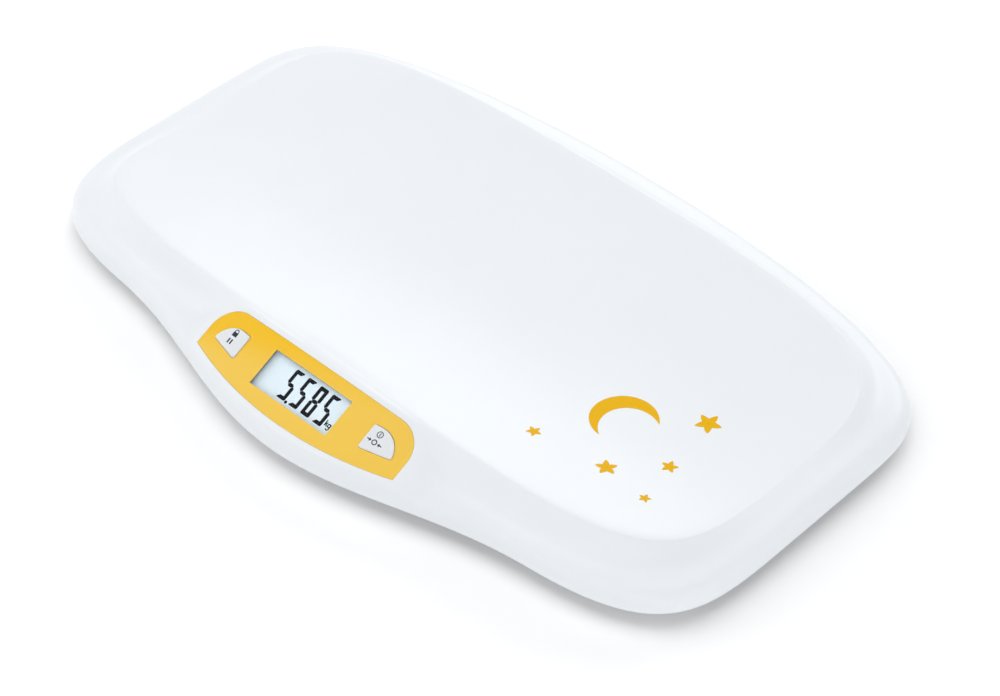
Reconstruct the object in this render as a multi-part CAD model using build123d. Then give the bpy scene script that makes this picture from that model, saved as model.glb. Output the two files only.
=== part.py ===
from build123d import *
import math
import os

# Digital baby weighing scale: a moulded cradle-shaped platform with a sloping
# console on one long side, standing on four weighing feet.
# Frame: millimetres, +Z up, resting plane at z = 0, origin below the middle of
# the overall outline, +X along the long side, -Y towards the console.

# ---------------------------------------------------------------- driving sizes
LENGTH = 550.0              # overall, along X
WIDTH = 335.0               # overall, along Y, console bulge included
PLAN_CENTRE_Y = 12.0        # centre of the tray, behind the middle of the outline
SKIRT_BOTTOM = 11.0         # lower edge of the top shell
SHOULDER_Z = 25.5           # where the rolled outer edge has levelled out
BULGE_DEPTH = 33.5          # how far the console pushes the front edge out
BULGE_HALF_WIDTH = 180.0
BACK_BOW = 2222.0           # radius of the gently bowed back edge
BACK_SQUARENESS = 6.5
FRONT_SQUARENESS = 5.4
WALL = 2.6                  # moulded wall of the top shell

RIM_HALF_LENGTH = 249.0     # crest line of the tray rim
RIM_BACK = 120.0
RIM_FRONT = 125.5
RIM_BACK_BOW = 7000.0
RIM_SQUARENESS = 4.9
DISH_FLOOR = 25.5           # lowest point of the tray
DISH_RISE_ACROSS = 18.5     # floor to crest at the long sides
DISH_RISE_ALONG = 2.0       # floor to crest at the ends

CONSOLE_Y = -138.9          # centre of the display on the sloping console
CONSOLE_Z = 36.5
CONSOLE_TILT = 25.5         # degrees from level
CROWN = 650.0               # radius of the console's crown along X
CONSOLE_HALF = 88.0         # flat part of the console, then its flanks fall away
CONSOLE_BACK_Y = -118.5     # where the console falls to the tray rim

PANEL_HALF = 85.3           # yellow fascia, in the console's own plane
PANEL_BACK = 21.2
PANEL_CORNER_V = -10.5
PANEL_BOW = 13.2            # front edge bows out by this much
PANEL_CORNER_RADIUS = 19.0
PANEL_THICKNESS = 1.2
PANEL_GAP = 0.15

WINDOW_WIDTH = 65.8
WINDOW_HEIGHT = 25.7
LENS_MARGIN = 2.2           # glued border of the lens round the window
LENS_DEPTH = 2.2            # lens face below the fascia's crown
LENS_THICKNESS = 1.5

BUTTON_INNER = 54.2
BUTTON_OUTER = 76.4
BUTTON_TOP = 10.2
BUTTON_BOTTOM = -7.0
BUTTON_TOE = -2.0           # height of the outer lower corner
BUTTON_PROUD = 0.9
BUTTON_GAP = 0.35
BUTTON_TRAVEL = 0.8
BUTTON_FLANGE = 1.6         # retaining flange, wider than the key by this much
FLANGE_THICKNESS = 1.0
FLANGE_GAP = 0.35

BOARD_DEPTH = 13.0          # component face of the main board below the console
BOARD_THICKNESS = 1.6
BOARD_HALF = 79.0
BOARD_BACK = 15.0
BOARD_FRONT = -15.0
GLASS_WIDTH = 69.0
GLASS_HEIGHT = 30.0
GLASS_THICKNESS = 2.8
FRAME_WALL = 2.0            # display frame round glass and light guide
LIGHT_THICKNESS = 2.5
SWITCH_SIDE = 6.0
SWITCH_HEIGHT = 3.6
PLUNGER_RADIUS = 1.6
PLUNGER_GAP = 0.15

PAN_FLOOR = 5.0             # underside of the base pan
PAN_WALL = 2.2
PAN_INSET = 22.0            # flat floor starts this far inside the outline
PAN_LIP_TOP = 15.0
PAN_LIP_GAP = 0.6
RIB_THICKNESS = 1.6
RIB_HEIGHT = 3.0
SHELL_RIB_BOTTOM = 19.5
SHELL_RIB_X = (52.0, 150.0)
SHELL_RIB_Y = (12.0, 90.0)
SHELL_POINTS = 48           # points round each closed curve of the shell
BOARD_POST_RADIUS = 3.0

FOOT_X = 200.0
FOOT_BACK_Y = 85.0
FOOT_FRONT_Y = -70.0
PAD_RADIUS = 15.0
PAD_HEIGHT = 2.2
CARRIER_RADIUS = 16.0
CARRIER_THICKNESS = 3.0
FOOT_HOLE_GAP = 2.0
STEM_RADIUS = 4.7
STEM_GAP = 0.3
SNAP_RADIUS = 6.0
SNAP_THICKNESS = 1.0
FOOT_PLAY = 0.3             # clearance under the weighing tongue
HOLDER_WALL = 4.8           # wall round the steel plate's seat
HOLDER_FLOOR = 2.2
HOLDER_TOP = 15.4
CELL_SIDE = 34.0
CELL_THICKNESS = 2.5
CELL_GAP = 0.2
CELL_LEDGE = 2.4
CELL_SLOT = 2.0
TONGUE_WIDTH = 12.0
HOLDER_SIDE = CELL_SIDE + 2 * (CELL_GAP + HOLDER_WALL)

CELLS = 3
BATTERY_RADIUS = 5.25
BATTERY_LENGTH = 43.6
BATTERY_SPACE = 0.8         # between neighbouring batteries
BATTERY_NIB = 0.9
BATTERY_PITCH = 2 * BATTERY_RADIUS + BATTERY_SPACE
BATTERY_Y = 40.0            # centre of the battery compartment
BAY_HALF_LENGTH = 24.7
BAY_WALL = 1.8
BAY_SIDE_ROOM = 0.9
DOOR_THICKNESS = 2.2
DOOR_RECESS = 0.2
DOOR_GAP = 0.3
HINGE_RADIUS = 1.3
HINGE_PIN_RADIUS = 0.8
HINGE_PIN_LENGTH = 1.2
PIN_GAP = 0.2
LATCH_WIDTH = 14.0
LATCH_REACH = 3.2
CONTACT_THICKNESS = 0.4

SCREW_RADIUS = 1.5
SCREW_HEAD_RADIUS = 3.2
SCREW_HEAD_HEIGHT = 2.0
WELL_RADIUS = 3.8
WELL_WALL = 1.8
WELL_TOP = 11.0
BOSS_RADIUS = 4.4
SCREW_BITE = 9.0
SMALL_SCREW_RADIUS = 1.1
SMALL_HEAD_RADIUS = 2.2
SMALL_HEAD_HEIGHT = 1.5

UNIT_X = 72.0
UNIT_Y = 40.0
UNIT_RADIUS = 4.0
UNIT_GAP = 0.3
UNIT_RECESS = 0.6

LEAD_RADIUS = 1.1
LEAD_BEND = 6.6             # three lead diameters
SOCKET_INNER = 19.0         # sockets for the leads, one on each side of the display
SOCKET_OUTER = 43.0
SOCKET_FRONT = 1.0
SOCKET_BACK = 8.0
SOCKET_HEIGHT = 5.0
LEAD_LANES = (24.0, 38.0)   # back and front leads run forward at these distances from the middle
LEAD_CORNER_X = 128.0
LEAD_REST_Y = 13.0          # back leads pass the battery compartment along this line

# ------------------------------------------------------------- derived places
HALF_LENGTH = LENGTH / 2
OUTER_BACK = WIDTH / 2 - PLAN_CENTRE_Y
OUTER_FRONT = WIDTH / 2 + PLAN_CENTRE_Y - BULGE_DEPTH
PAN_TOP = PAN_FLOOR + PAN_WALL
RIB_TOP = PAN_TOP + RIB_HEIGHT
LEAD_Z = RIB_TOP + LEAD_RADIUS
BOARD_UNDERSIDE = -BOARD_DEPTH - BOARD_THICKNESS
OVERSIZE = 200.0

tilt = math.radians(CONSOLE_TILT)
console_plane = Plane(
    origin=(0, CONSOLE_Y, CONSOLE_Z),
    x_dir=(1, 0, 0),
    z_dir=(0, -math.sin(tilt), math.cos(tilt)),
)

os.makedirs("parts", exist_ok=True)


def save(shape, name):
    """Write one sub-part to its own STEP file."""
    shape.label = name
    export_step(shape, f"parts/{name}.step")


# --------------------------------------------------------- plan curves and net
def superellipse(angle, half_x, half_y, squareness):
    """Point of a superellipse seen from its centre at an angle from +Y."""
    s, c = math.sin(angle), math.cos(angle)
    reach = (abs(s / half_x) ** squareness + abs(c / half_y) ** squareness) ** (-1 / squareness)
    return reach * s, reach * c


def outer_edge(angle):
    """Overall outline: bowed back edge, square front corners and the console bulge."""
    if math.cos(angle) >= 0:
        x, y = superellipse(angle, HALF_LENGTH, OUTER_BACK, BACK_SQUARENESS)
        y -= x * x / BACK_BOW * (y / OUTER_BACK)
    else:
        x, y = superellipse(angle, HALF_LENGTH, OUTER_FRONT, FRONT_SQUARENESS)
        share = min(abs(x) / BULGE_HALF_WIDTH, 1.0)
        y -= BULGE_DEPTH * 0.5 * (1 + math.cos(math.pi * share))
    return x, y + PLAN_CENTRE_Y


def rim_line(angle):
    """Crest of the tray rim in plan."""
    if math.cos(angle) >= 0:
        x, y = superellipse(angle, RIM_HALF_LENGTH, RIM_BACK, RIM_SQUARENESS)
        y -= x * x / RIM_BACK_BOW * (y / RIM_BACK)
    else:
        x, y = superellipse(angle, RIM_HALF_LENGTH, RIM_FRONT, RIM_SQUARENESS)
    return x, y + PLAN_CENTRE_Y


def dish_height(x, y):
    """Tray surface: a shallow cradle, lowest in the middle."""
    across = (y - PLAN_CENTRE_Y) / ((RIM_BACK + RIM_FRONT) / 2)
    along = x / RIM_HALF_LENGTH
    return DISH_FLOOR + DISH_RISE_ACROSS * across ** 2 + DISH_RISE_ALONG * along ** 2


def console_height(x, y):
    """Sloping crowned console with flanks at its ends and a fall behind it."""
    level = CONSOLE_Z + (y - CONSOLE_Y) * math.tan(tilt) - x * x / (2 * CROWN * math.cos(tilt))
    flank = max(0.0, abs(x) - CONSOLE_HALF)
    behind = max(0.0, y - CONSOLE_BACK_Y)
    return level - 0.03 * flank ** 2 - 0.3 * behind ** 2


def blend_up(low, high, softness=1.5):
    """Smooth maximum of two heights."""
    return 0.5 * (low + high + math.sqrt((low - high) ** 2 + softness ** 2))


# Each station of the skirt: share of the way from outline to rim, height (fixed,
# or as a share of the rise from shoulder to rim), and how far the console may lift it.
SKIRT = [
    (0.0, SKIRT_BOTTOM, None, 0.0),
    (0.0, SKIRT_BOTTOM + 2.5, None, 0.5),
    (0.015, SHOULDER_Z - 8.9, None, 3.0),
    (0.05, SHOULDER_Z - 6.1, None, 5.0),
    (0.105, SHOULDER_Z - 3.6, None, 99.0),
    (0.18, SHOULDER_Z - 1.7, None, 99.0),
    (0.28, SHOULDER_Z - 0.5, None, 99.0),
    (0.40, None, 0.015, 99.0),
    (0.52, None, 0.08, 99.0),
    (0.63, None, 0.21, 99.0),
    (0.73, None, 0.40, 99.0),
    (0.82, None, 0.635, 99.0),
    (0.89, None, 0.80, 99.0),
    (0.95, None, 0.91, 99.0),
    (1.0, None, 0.965, 0.0),
]
DISH_SCALES = [0.97, 0.92, 0.84, 0.72, 0.56, 0.36, 0.12]


def skirt_point(angle, share, height, rise, lift):
    """One point of the skirt at a plan angle and a station."""
    ox, oy = outer_edge(angle)
    rx, ry = rim_line(angle)
    x = ox + share * (rx - ox)
    y = oy + share * (ry - oy)
    z = height if rise is None else SHOULDER_Z + (dish_height(rx, ry) - SHOULDER_Z) * rise
    console = console_height(x, y)
    if lift and console > z - 4.0:
        z = blend_up(z, min(console, z + lift))
    return Vector(x, y, z)


def surface_net(count):
    """Closed rows of points up the skirt, over the rim and down into the tray."""
    angles = [2 * math.pi * step / count - math.pi for step in range(count)]
    rows = [[skirt_point(angle, *station) for angle in angles] for station in SKIRT]
    for scale in DISH_SCALES:
        row = []
        for angle in angles:
            rx, ry = rim_line(angle)
            x = rx * scale
            y = PLAN_CENTRE_Y + (ry - PLAN_CENTRE_Y) * scale
            row.append(Vector(x, y, dish_height(x, y)))
        rows.append(row)
    return level_last_row(rows)


def level_last_row(rows):
    """Give the smallest row of the tray one height, so that a flat face closes it."""
    height = sum(point.Z for point in rows[-1]) / len(rows[-1])
    rows[-1] = [Vector(point.X, point.Y, height) for point in rows[-1]]
    return rows


def inset_net(rows, depth):
    """The same net moved inwards along its own normals by a wall thickness."""
    last, count = len(rows) - 1, len(rows[0])
    inner = []
    for k, row in enumerate(rows):
        line = []
        for j, point in enumerate(row):
            up = rows[min(k + 1, last)][j] - rows[max(k - 1, 0)][j]
            around = row[(j + 1) % count] - row[j - 1]
            line.append(point - up.cross(around).normalized() * depth)
        inner.append(line)
    return level_last_row(inner)


def closed_wire(points):
    """Closed smooth curve through a row of points."""
    steps = [step / len(points) for step in range(len(points) + 1)]
    return Wire([Edge.make_spline(points, periodic=True, parameters=steps)])


def skin(rows):
    """Closed body through all rows, with flat faces at the first and last."""
    return Solid.make_loft([closed_wire(row) for row in rows], ruled=True)


def outline_wire(inset, height):
    """The overall outline moved inwards in plan, at one height."""
    points = []
    for step in range(SHELL_POINTS):
        angle = 2 * math.pi * step / SHELL_POINTS - math.pi
        x, y = outer_edge(angle)
        x2, y2 = outer_edge(angle + 0.001)
        run = math.hypot(x2 - x, y2 - y)
        points.append(Vector(x - (y - y2) / run * inset, y - (x2 - x) / run * inset, height))
    return closed_wire(points)


def outline_prism(inset, low, high):
    """Straight-walled body on the moved-in outline."""
    return Solid.extrude(Face(outline_wire(inset, low)), Vector(0, 0, high - low))


def outline_taper(inset_low, low, inset_high, high):
    """Sloping-walled body between two moved-in outlines."""
    return Solid.make_loft([outline_wire(inset_low, low), outline_wire(inset_high, high)], ruled=True)


# ------------------------------------------------------ small building helpers
def cylinder(x, y, low, high, radius):
    """Upright cylinder between two heights."""
    return Pos(x, y, (low + high) / 2) * Cylinder(radius, high - low)


def block(x0, x1, y0, y1, z0, z1):
    """Upright box between its limits."""
    return Pos((x0 + x1) / 2, (y0 + y1) / 2, (z0 + z1) / 2) * Box(x1 - x0, y1 - y0, z1 - z0)


def console_prism(sketch, low, high):
    """Extrude a sketch drawn in the console's plane between two normal heights."""
    start = Plane(console_plane.origin + console_plane.z_dir * low,
                  x_dir=console_plane.x_dir, z_dir=console_plane.z_dir)
    return extrude(start * sketch, amount=high - low)


def crown_body(drop):
    """Everything below the crowned console surface, lowered by a drop."""
    radius = CROWN - drop
    axis_point = console_plane.origin - console_plane.z_dir * CROWN
    plane = Plane(axis_point - console_plane.y_dir * OVERSIZE / 2,
                  x_dir=(1, 0, 0), z_dir=console_plane.y_dir)
    return plane * Cylinder(radius, OVERSIZE, align=(Align.CENTER, Align.CENTER, Align.MIN))


def crown_layer(sketch, top_drop, bottom_drop):
    """A layer of constant thickness that follows the crown, inside a sketch."""
    body = console_prism(sketch, -30.0, 10.0)
    return (body & crown_body(top_drop)) - crown_body(bottom_drop)


def console_cylinder(u, v, low, high, radius):
    """Cylinder along the console's normal."""
    return console_prism(Pos(u, v) * Circle(radius), low, high)


def console_block(u0, u1, v0, v1, low, high):
    """Box square to the console's plane."""
    centre = Pos((u0 + u1) / 2, (v0 + v1) / 2)
    return console_prism(centre * Rectangle(u1 - u0, v1 - v0), low, high)


# ------------------------------------------------------------ console outlines
def panel_outline(gap=0.0):
    """Fascia: straight back, round back corners, bowed front."""
    half = PANEL_HALF + gap
    back = PANEL_BACK + gap
    corner = PANEL_CORNER_V - gap
    radius = PANEL_CORNER_RADIUS
    shoulder = back - radius
    bow = corner - PANEL_BOW
    turn = radius * math.sqrt(0.5)
    lines = [
        Line((-half, corner), (-half, shoulder)),
        ThreePointArc((-half, shoulder), (-half + radius - turn, shoulder + turn), (-half + radius, back)),
        Line((-half + radius, back), (half - radius, back)),
        ThreePointArc((half - radius, back), (half - radius + turn, shoulder + turn), (half, shoulder)),
        Line((half, shoulder), (half, corner)),
        ThreePointArc((half, corner), (0, bow), (-half, corner)),
    ]
    return make_face(lines)


def key_outline(side, gap=0.0):
    """Key: straight inner edge, arched outer edge down to a toe, rounded corners."""
    inner = BUTTON_INNER - gap
    top = BUTTON_TOP + gap
    bottom = BUTTON_BOTTOM - gap
    outer = BUTTON_OUTER + gap
    toe = BUTTON_TOE - gap * 0.6
    arch = ((inner + outer) / 2 + 5.6 + gap * 0.6, (top + toe) / 2 + 3.6 + gap * 0.6)
    knee = ((inner + outer) / 2 - 3.0, top + 0.6)
    lines = [
        Line((inner, bottom), (inner, top)),
        Line((inner, top), knee),
        ThreePointArc(knee, arch, (outer, toe)),
        Line((outer, toe), (inner, bottom)),
    ]
    face = make_face(lines)
    face = fillet([v for v in face.vertices() if abs(v.X - knee[0]) > 1.0], 1.4 + gap)
    return face if side > 0 else mirror(face, about=Plane.YZ)


def window_outline(margin=0.0):
    """Display window, grown on every side by a margin."""
    return Rectangle(WINDOW_WIDTH + 2 * margin, WINDOW_HEIGHT + 2 * margin)


# --------------------------------------------------------------- fixing places
SHELL_SCREWS = [(x, y) for side in (-1, 1) for x, y in (
    (side * 236.0, PLAN_CENTRE_Y), (side * 112.0, 126.0), (side * 128.0, -100.0), (side * 95.0, -18.0))]
FEET = {
    "front_left": (-FOOT_X, FOOT_FRONT_Y),
    "front_right": (FOOT_X, FOOT_FRONT_Y),
    "back_left": (-FOOT_X, FOOT_BACK_Y),
    "back_right": (FOOT_X, FOOT_BACK_Y),
}
BOARD_SCREWS = [(side * 45.5, v) for side in (-1, 1) for v in (11.0, -10.0)]
EAR_RADIUS = 3.6
EAR = HOLDER_SIDE / 2 + EAR_RADIUS + 0.3
EAR_TOP = HOLDER_FLOOR + RIB_TOP
CELL_Z = PAN_TOP + 5.1      # underside of the steel weighing plate


def ear_places(x, y):
    """The two fixing ears of a weighing-cell holder."""
    return [(x - EAR, y), (x + EAR, y)]


# -------------------------------------------------------------------- top shell
def shell_wall():
    """Skirt, rim, tray and console as one wall: up the outside and down the inside."""
    outside = surface_net(SHELL_POINTS)
    inside = inset_net(outside, WALL)
    inside[0] = [Vector(point.X, point.Y, SKIRT_BOTTOM) for point in inside[0]]
    kept = [row for number, row in enumerate(inside[:-1]) if number < 3 or number % 2 == 0]
    return skin([inside[-1]] + kept[::-1] + outside)


def under_tray(x, y):
    """Height inside the tray's wall, where a rib or boss is rooted."""
    return dish_height(x, y) - WALL / 2


def hanging_rib(run_x, place, start, end):
    """Rib below the tray whose top follows the cradle."""
    steps = [start + (end - start) * step / 6 for step in range(7)]
    heights = [under_tray(s, place) if run_x else under_tray(place, s) for s in steps]
    top = Spline(*zip(steps, heights))
    low = SHELL_RIB_BOTTOM
    rest = Polyline((end, heights[-1]), (end, low), (start, low), (start, heights[0]))
    rib = extrude(make_face([top] + rest.edges()), amount=RIB_THICKNESS / 2, both=True)
    if run_x:
        return Plane(origin=(0, place, 0), x_dir=(1, 0, 0), z_dir=(0, -1, 0)) * rib
    return Plane(origin=(place, 0, 0), x_dir=(0, 1, 0), z_dir=(1, 0, 0)) * rib


def shell_ribs():
    """Stiffening ribs that hang under the tray, two long and four cross."""
    long_ribs = [hanging_rib(True, y, -228.0, 228.0) for y in SHELL_RIB_Y]
    cross_ribs = [hanging_rib(False, side * x, -92.0, 112.0) for side in (-1, 1) for x in SHELL_RIB_X]
    return long_ribs[0].fuse(*long_ribs[1:], *cross_ribs)


def shell_bosses():
    """Screw bosses that reach down to the wells of the base pan."""
    return [cylinder(x, y, WELL_TOP, under_tray(x, y), BOSS_RADIUS) for x, y in SHELL_SCREWS]


def board_posts():
    """Posts under the console that carry the main board."""
    root = (PANEL_THICKNESS + WALL) / 2
    return [console_cylinder(u, v, -BOARD_DEPTH, -crown_drop(u) - root, BOARD_POST_RADIUS)
            for u, v in BOARD_SCREWS]


def make_top_shell():
    """Moulded cradle with its skirt and console, ribs, bosses, posts and openings."""
    shell = shell_wall().fuse(*shell_bosses())
    shell = shell.fuse(*board_posts())
    shell += shell_ribs()
    shell -= console_prism(panel_outline(PANEL_GAP), -9, 20) - crown_body(PANEL_THICKNESS)
    shell -= console_prism(window_outline(LENS_MARGIN + 0.3), -BOARD_DEPTH + 1, 5)
    for side in (-1, 1):
        shell -= console_prism(key_outline(side, BUTTON_GAP), -BOARD_DEPTH + 1, 5)
    shell -= [cylinder(x, y, 0, WELL_TOP + SCREW_BITE, SCREW_RADIUS) for x, y in SHELL_SCREWS]
    shell -= [console_cylinder(u, v, -30, -BOARD_DEPTH + 6.5, SMALL_SCREW_RADIUS) for u, v in BOARD_SCREWS]
    return shell


# --------------------------------------------------------------------- base pan
def battery_bay_size():
    """Half length and half width of the battery compartment."""
    half_width = (CELLS - 1) * BATTERY_PITCH / 2 + BATTERY_RADIUS + BAY_SIDE_ROOM
    return BAY_HALF_LENGTH, half_width


def bay_roof():
    """Height of the compartment's ceiling."""
    return battery_axis_z() + BATTERY_RADIUS + 0.3


def battery_axis_z():
    """Height of the battery axes above the closed door."""
    return PAN_FLOOR + DOOR_RECESS + DOOR_THICKNESS + 0.3 + BATTERY_RADIUS


def pan_ribs():
    """Floor ribs of the base pan, cut short at the feet and the battery bay."""
    ribs = []
    for y in (-32.0, 12.0, 112.0):
        ribs.append(block(-230, 230, y - RIB_THICKNESS / 2, y + RIB_THICKNESS / 2, PAN_TOP - 0.5, RIB_TOP))
    for x in (-150.0, -52.0, 52.0, 150.0):
        ribs.append(block(x - RIB_THICKNESS / 2, x + RIB_THICKNESS / 2, -104, 128, PAN_TOP - 0.5, RIB_TOP))
    return ribs


def unit_posts():
    """Two posts that carry the small board of the unit key."""
    return [(UNIT_X + step, UNIT_Y) for step in (-9.0, 9.0)]


def lead_clips():
    """Hooked clips beside the cell leads."""
    outer, inner = SHELL_RIB_X[1], SHELL_RIB_X[0]
    places = [(outer, FOOT_BACK_Y), (inner, LEAD_REST_Y), (outer, FOOT_FRONT_Y), (inner, FOOT_FRONT_Y)]
    return [lead_clip(side * x, y) for side in (-1, 1) for x, y in places]


def lead_clip(x, y):
    """A post on a floor rib with a nose over the lead."""
    near = y + LEAD_RADIUS + 0.1
    far = near + 1.6
    top = LEAD_Z + LEAD_RADIUS + 0.1
    post = block(x - 2, x + 2, near, far, PAN_TOP - 0.5, top + 1.2)
    nose = block(x - 2, x + 2, y - 0.4, far, top, top + 1.2)
    return post + nose


def make_base_pan():
    """Ribbed floor with a sloping side, lip, screw wells, foot holes and battery bay."""
    lip = WALL + PAN_LIP_GAP
    turn = SKIRT_BOTTOM - 0.4
    outside = outline_taper(PAN_INSET, PAN_FLOOR, lip, turn) + outline_prism(lip, turn, PAN_LIP_TOP)
    hollow = outline_taper(PAN_INSET + 1.2, PAN_TOP, lip + PAN_WALL, turn + 1.6)
    hollow += outline_prism(lip + PAN_WALL, turn + 1.6, PAN_LIP_TOP + 1)
    pan = outside - hollow
    half_x, half_y = battery_bay_size()
    roof = bay_roof()
    wells = [cylinder(x, y, PAN_FLOOR, WELL_TOP, WELL_RADIUS + WELL_WALL) for x, y in SHELL_SCREWS]
    ears = [cylinder(ex, ey, PAN_TOP - 0.5, RIB_TOP, EAR_RADIUS)
            for x, y in FEET.values() for ex, ey in ear_places(x, y)]
    posts = [cylinder(x, y, PAN_TOP - 0.5, unit_board_z(), 2.6) for x, y in unit_posts()]
    bay = block(-half_x - BAY_WALL, half_x + BAY_WALL, BATTERY_Y - half_y - BAY_WALL,
                BATTERY_Y + half_y + BAY_WALL, PAN_FLOOR, roof + BAY_WALL)
    ribs = Compound(pan_ribs())
    for x, y in FEET.values():
        ribs -= block(x - HOLDER_SIDE / 2 - 0.3, x + HOLDER_SIDE / 2 + 0.3,
                      y - HOLDER_SIDE / 2 - 0.3, y + HOLDER_SIDE / 2 + 0.3, 0, 30)
    pan = pan.fuse(*(ribs.solids() + wells + ears + posts + lead_clips() + [bay]))
    pan -= block(-half_x, half_x, BATTERY_Y - half_y, BATTERY_Y + half_y, 0, roof)
    pan -= block(-LATCH_WIDTH / 2 - DOOR_GAP, LATCH_WIDTH / 2 + DOOR_GAP, BATTERY_Y,
                 BATTERY_Y + half_y + LATCH_REACH + DOOR_GAP, 0, latch_top() + DOOR_GAP)
    for side in (-1, 1):
        hole = Pos(side * half_x, hinge_y(), hinge_z()) * Rot(0, 90, 0)
        pan -= hole * Cylinder(HINGE_PIN_RADIUS + PIN_GAP, 2 * (HINGE_PIN_LENGTH + 0.3))
    for x, y in SHELL_SCREWS:
        pan -= cylinder(x, y, 0, WELL_TOP - 2.4, WELL_RADIUS)
        pan -= cylinder(x, y, 0, WELL_TOP + 1, SCREW_RADIUS + 0.2)
    for x, y in FEET.values():
        pan -= cylinder(x, y, 0, PAN_TOP + 1, CARRIER_RADIUS + FOOT_HOLE_GAP)
        pan -= [cylinder(ex, ey, PAN_FLOOR + 1.2, 20, SMALL_SCREW_RADIUS) for ex, ey in ear_places(x, y)]
    pan -= cylinder(UNIT_X, UNIT_Y, 0, PAN_TOP + 1, UNIT_RADIUS + UNIT_GAP)
    pan -= [cylinder(x, y, PAN_TOP + 1, 30, SMALL_SCREW_RADIUS) for x, y in unit_posts()]
    return pan


# ----------------------------------------------------------------- battery door
def hinge_y():
    """Hinge axis, just inside the front end of the compartment."""
    return BATTERY_Y - battery_bay_size()[1] + DOOR_GAP + HINGE_RADIUS


def hinge_z():
    """Hinge axis height, so that the round edge starts at the door's face."""
    return PAN_FLOOR + DOOR_RECESS + HINGE_RADIUS


def latch_top():
    """Upper face of the latch tongue."""
    return PAN_FLOOR + DOOR_RECESS + 1.4


def make_battery_door():
    """Door with a round hinge edge, two pins, stiffening ribs and a latch tongue."""
    half_x, half_y = battery_bay_size()
    low = PAN_FLOOR + DOOR_RECESS
    far = BATTERY_Y + half_y - DOOR_GAP
    plate = block(-half_x + DOOR_GAP, half_x - DOOR_GAP, hinge_y(), far, low, low + DOOR_THICKNESS)
    edge = Pos(0, hinge_y(), hinge_z()) * Rot(0, 90, 0) * Cylinder(HINGE_RADIUS, 2 * (half_x - DOOR_GAP))
    pins = Pos(0, hinge_y(), hinge_z()) * Rot(0, 90, 0) * Cylinder(
        HINGE_PIN_RADIUS, 2 * (half_x + HINGE_PIN_LENGTH))
    tongue = block(-LATCH_WIDTH / 2, LATCH_WIDTH / 2, far - 1, far + LATCH_REACH, low, latch_top())
    door = plate + edge + pins + tongue
    door -= block(-LATCH_WIDTH / 2 - 1.2, -LATCH_WIDTH / 2, far - 7, far + 1, low - 1, low + 5)
    door -= block(LATCH_WIDTH / 2, LATCH_WIDTH / 2 + 1.2, far - 7, far + 1, low - 1, low + 5)
    for step in range(4):
        door -= block(-6, 6, far - 6.5 + 1.7 * step, far - 5.7 + 1.7 * step, low - 1, low + 0.5)
    return door


# -------------------------------------------------------------------- batteries
def battery_places():
    """Centre line and direction of each battery; neighbours point opposite ways."""
    places = []
    for index in range(CELLS):
        y = BATTERY_Y + (index - (CELLS - 1) / 2) * BATTERY_PITCH
        places.append((y, 1 if index % 2 else -1))
    return places


def make_batteries():
    """Size AAA cells with their positive nibs."""
    cells = []
    for y, way in battery_places():
        turn = Pos(way * battery_shift(), y, battery_axis_z()) * Rot(0, 90 * way, 0)
        body = turn * Cylinder(BATTERY_RADIUS, BATTERY_LENGTH)
        nib = turn * Pos(0, 0, BATTERY_LENGTH / 2 + BATTERY_NIB / 2) * Cylinder(1.9, BATTERY_NIB)
        cells.append(body + nib)
    return Compound(cells)


def battery_shift():
    """How far each cell lies towards its positive contact."""
    return battery_bay_size()[0] - CONTACT_THICKNESS - BATTERY_NIB - BATTERY_LENGTH / 2


def make_positive_contacts():
    """Flat plates that the nibs touch."""
    half_x = battery_bay_size()[0]
    plates = []
    for y, way in battery_places():
        x = way * (half_x - CONTACT_THICKNESS / 2)
        plates.append(Pos(x, y, battery_axis_z()) * Box(CONTACT_THICKNESS, 8.0, 8.4))
    return Compound(plates)


def make_negative_contacts():
    """Plates with a bowed leaf spring that presses each battery's flat end."""
    half_x = battery_bay_size()[0]
    reach = 2 * half_x - 2 * CONTACT_THICKNESS - BATTERY_NIB - BATTERY_LENGTH
    springs = []
    for y, way in battery_places():
        x = -way * half_x
        plate = Pos(x + way * CONTACT_THICKNESS / 2, y, battery_axis_z()) * Box(CONTACT_THICKNESS, 8.0, 8.4)
        arc = ThreePointArc((0, -4.0), (reach, 0), (0, 4.0))
        inner = ThreePointArc((0, 4.0 - CONTACT_THICKNESS), (reach - CONTACT_THICKNESS, 0),
                              (0, -4.0 + CONTACT_THICKNESS))
        closing = [Line(arc @ 1, inner @ 0), Line(inner @ 1, arc @ 0)]
        leaf = extrude(make_face([arc, inner] + closing), amount=2.5, both=True)
        leaf = Rot(90, 0, 0) * leaf
        if way < 0:
            leaf = mirror(leaf, about=Plane.YZ)
        turned = Pos(x + way * CONTACT_THICKNESS, y, battery_axis_z()) * leaf
        springs.append(plate + turned)
    return Compound(springs)


# ------------------------------------------------------------- console assembly
def make_console_panel():
    """Crowned yellow fascia with a window frame behind it and two key openings."""
    panel = crown_layer(panel_outline(), 0.0, PANEL_THICKNESS)
    frame = console_prism(window_outline(LENS_MARGIN), -LENS_DEPTH, -PANEL_THICKNESS / 2)
    frame = frame & crown_body(PANEL_THICKNESS / 2)
    panel = panel + frame
    panel -= console_prism(window_outline(), -30, 10)
    for side in (-1, 1):
        panel -= console_prism(key_outline(side, BUTTON_GAP), -30, 10)
    return panel


def make_display_lens():
    """Clear cover glued behind the fascia's window frame."""
    return console_prism(window_outline(LENS_MARGIN), -LENS_DEPTH - LENS_THICKNESS, -LENS_DEPTH)


def glass_top():
    """Normal height of the display glass's face."""
    return -LENS_DEPTH - LENS_THICKNESS - 0.5


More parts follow.
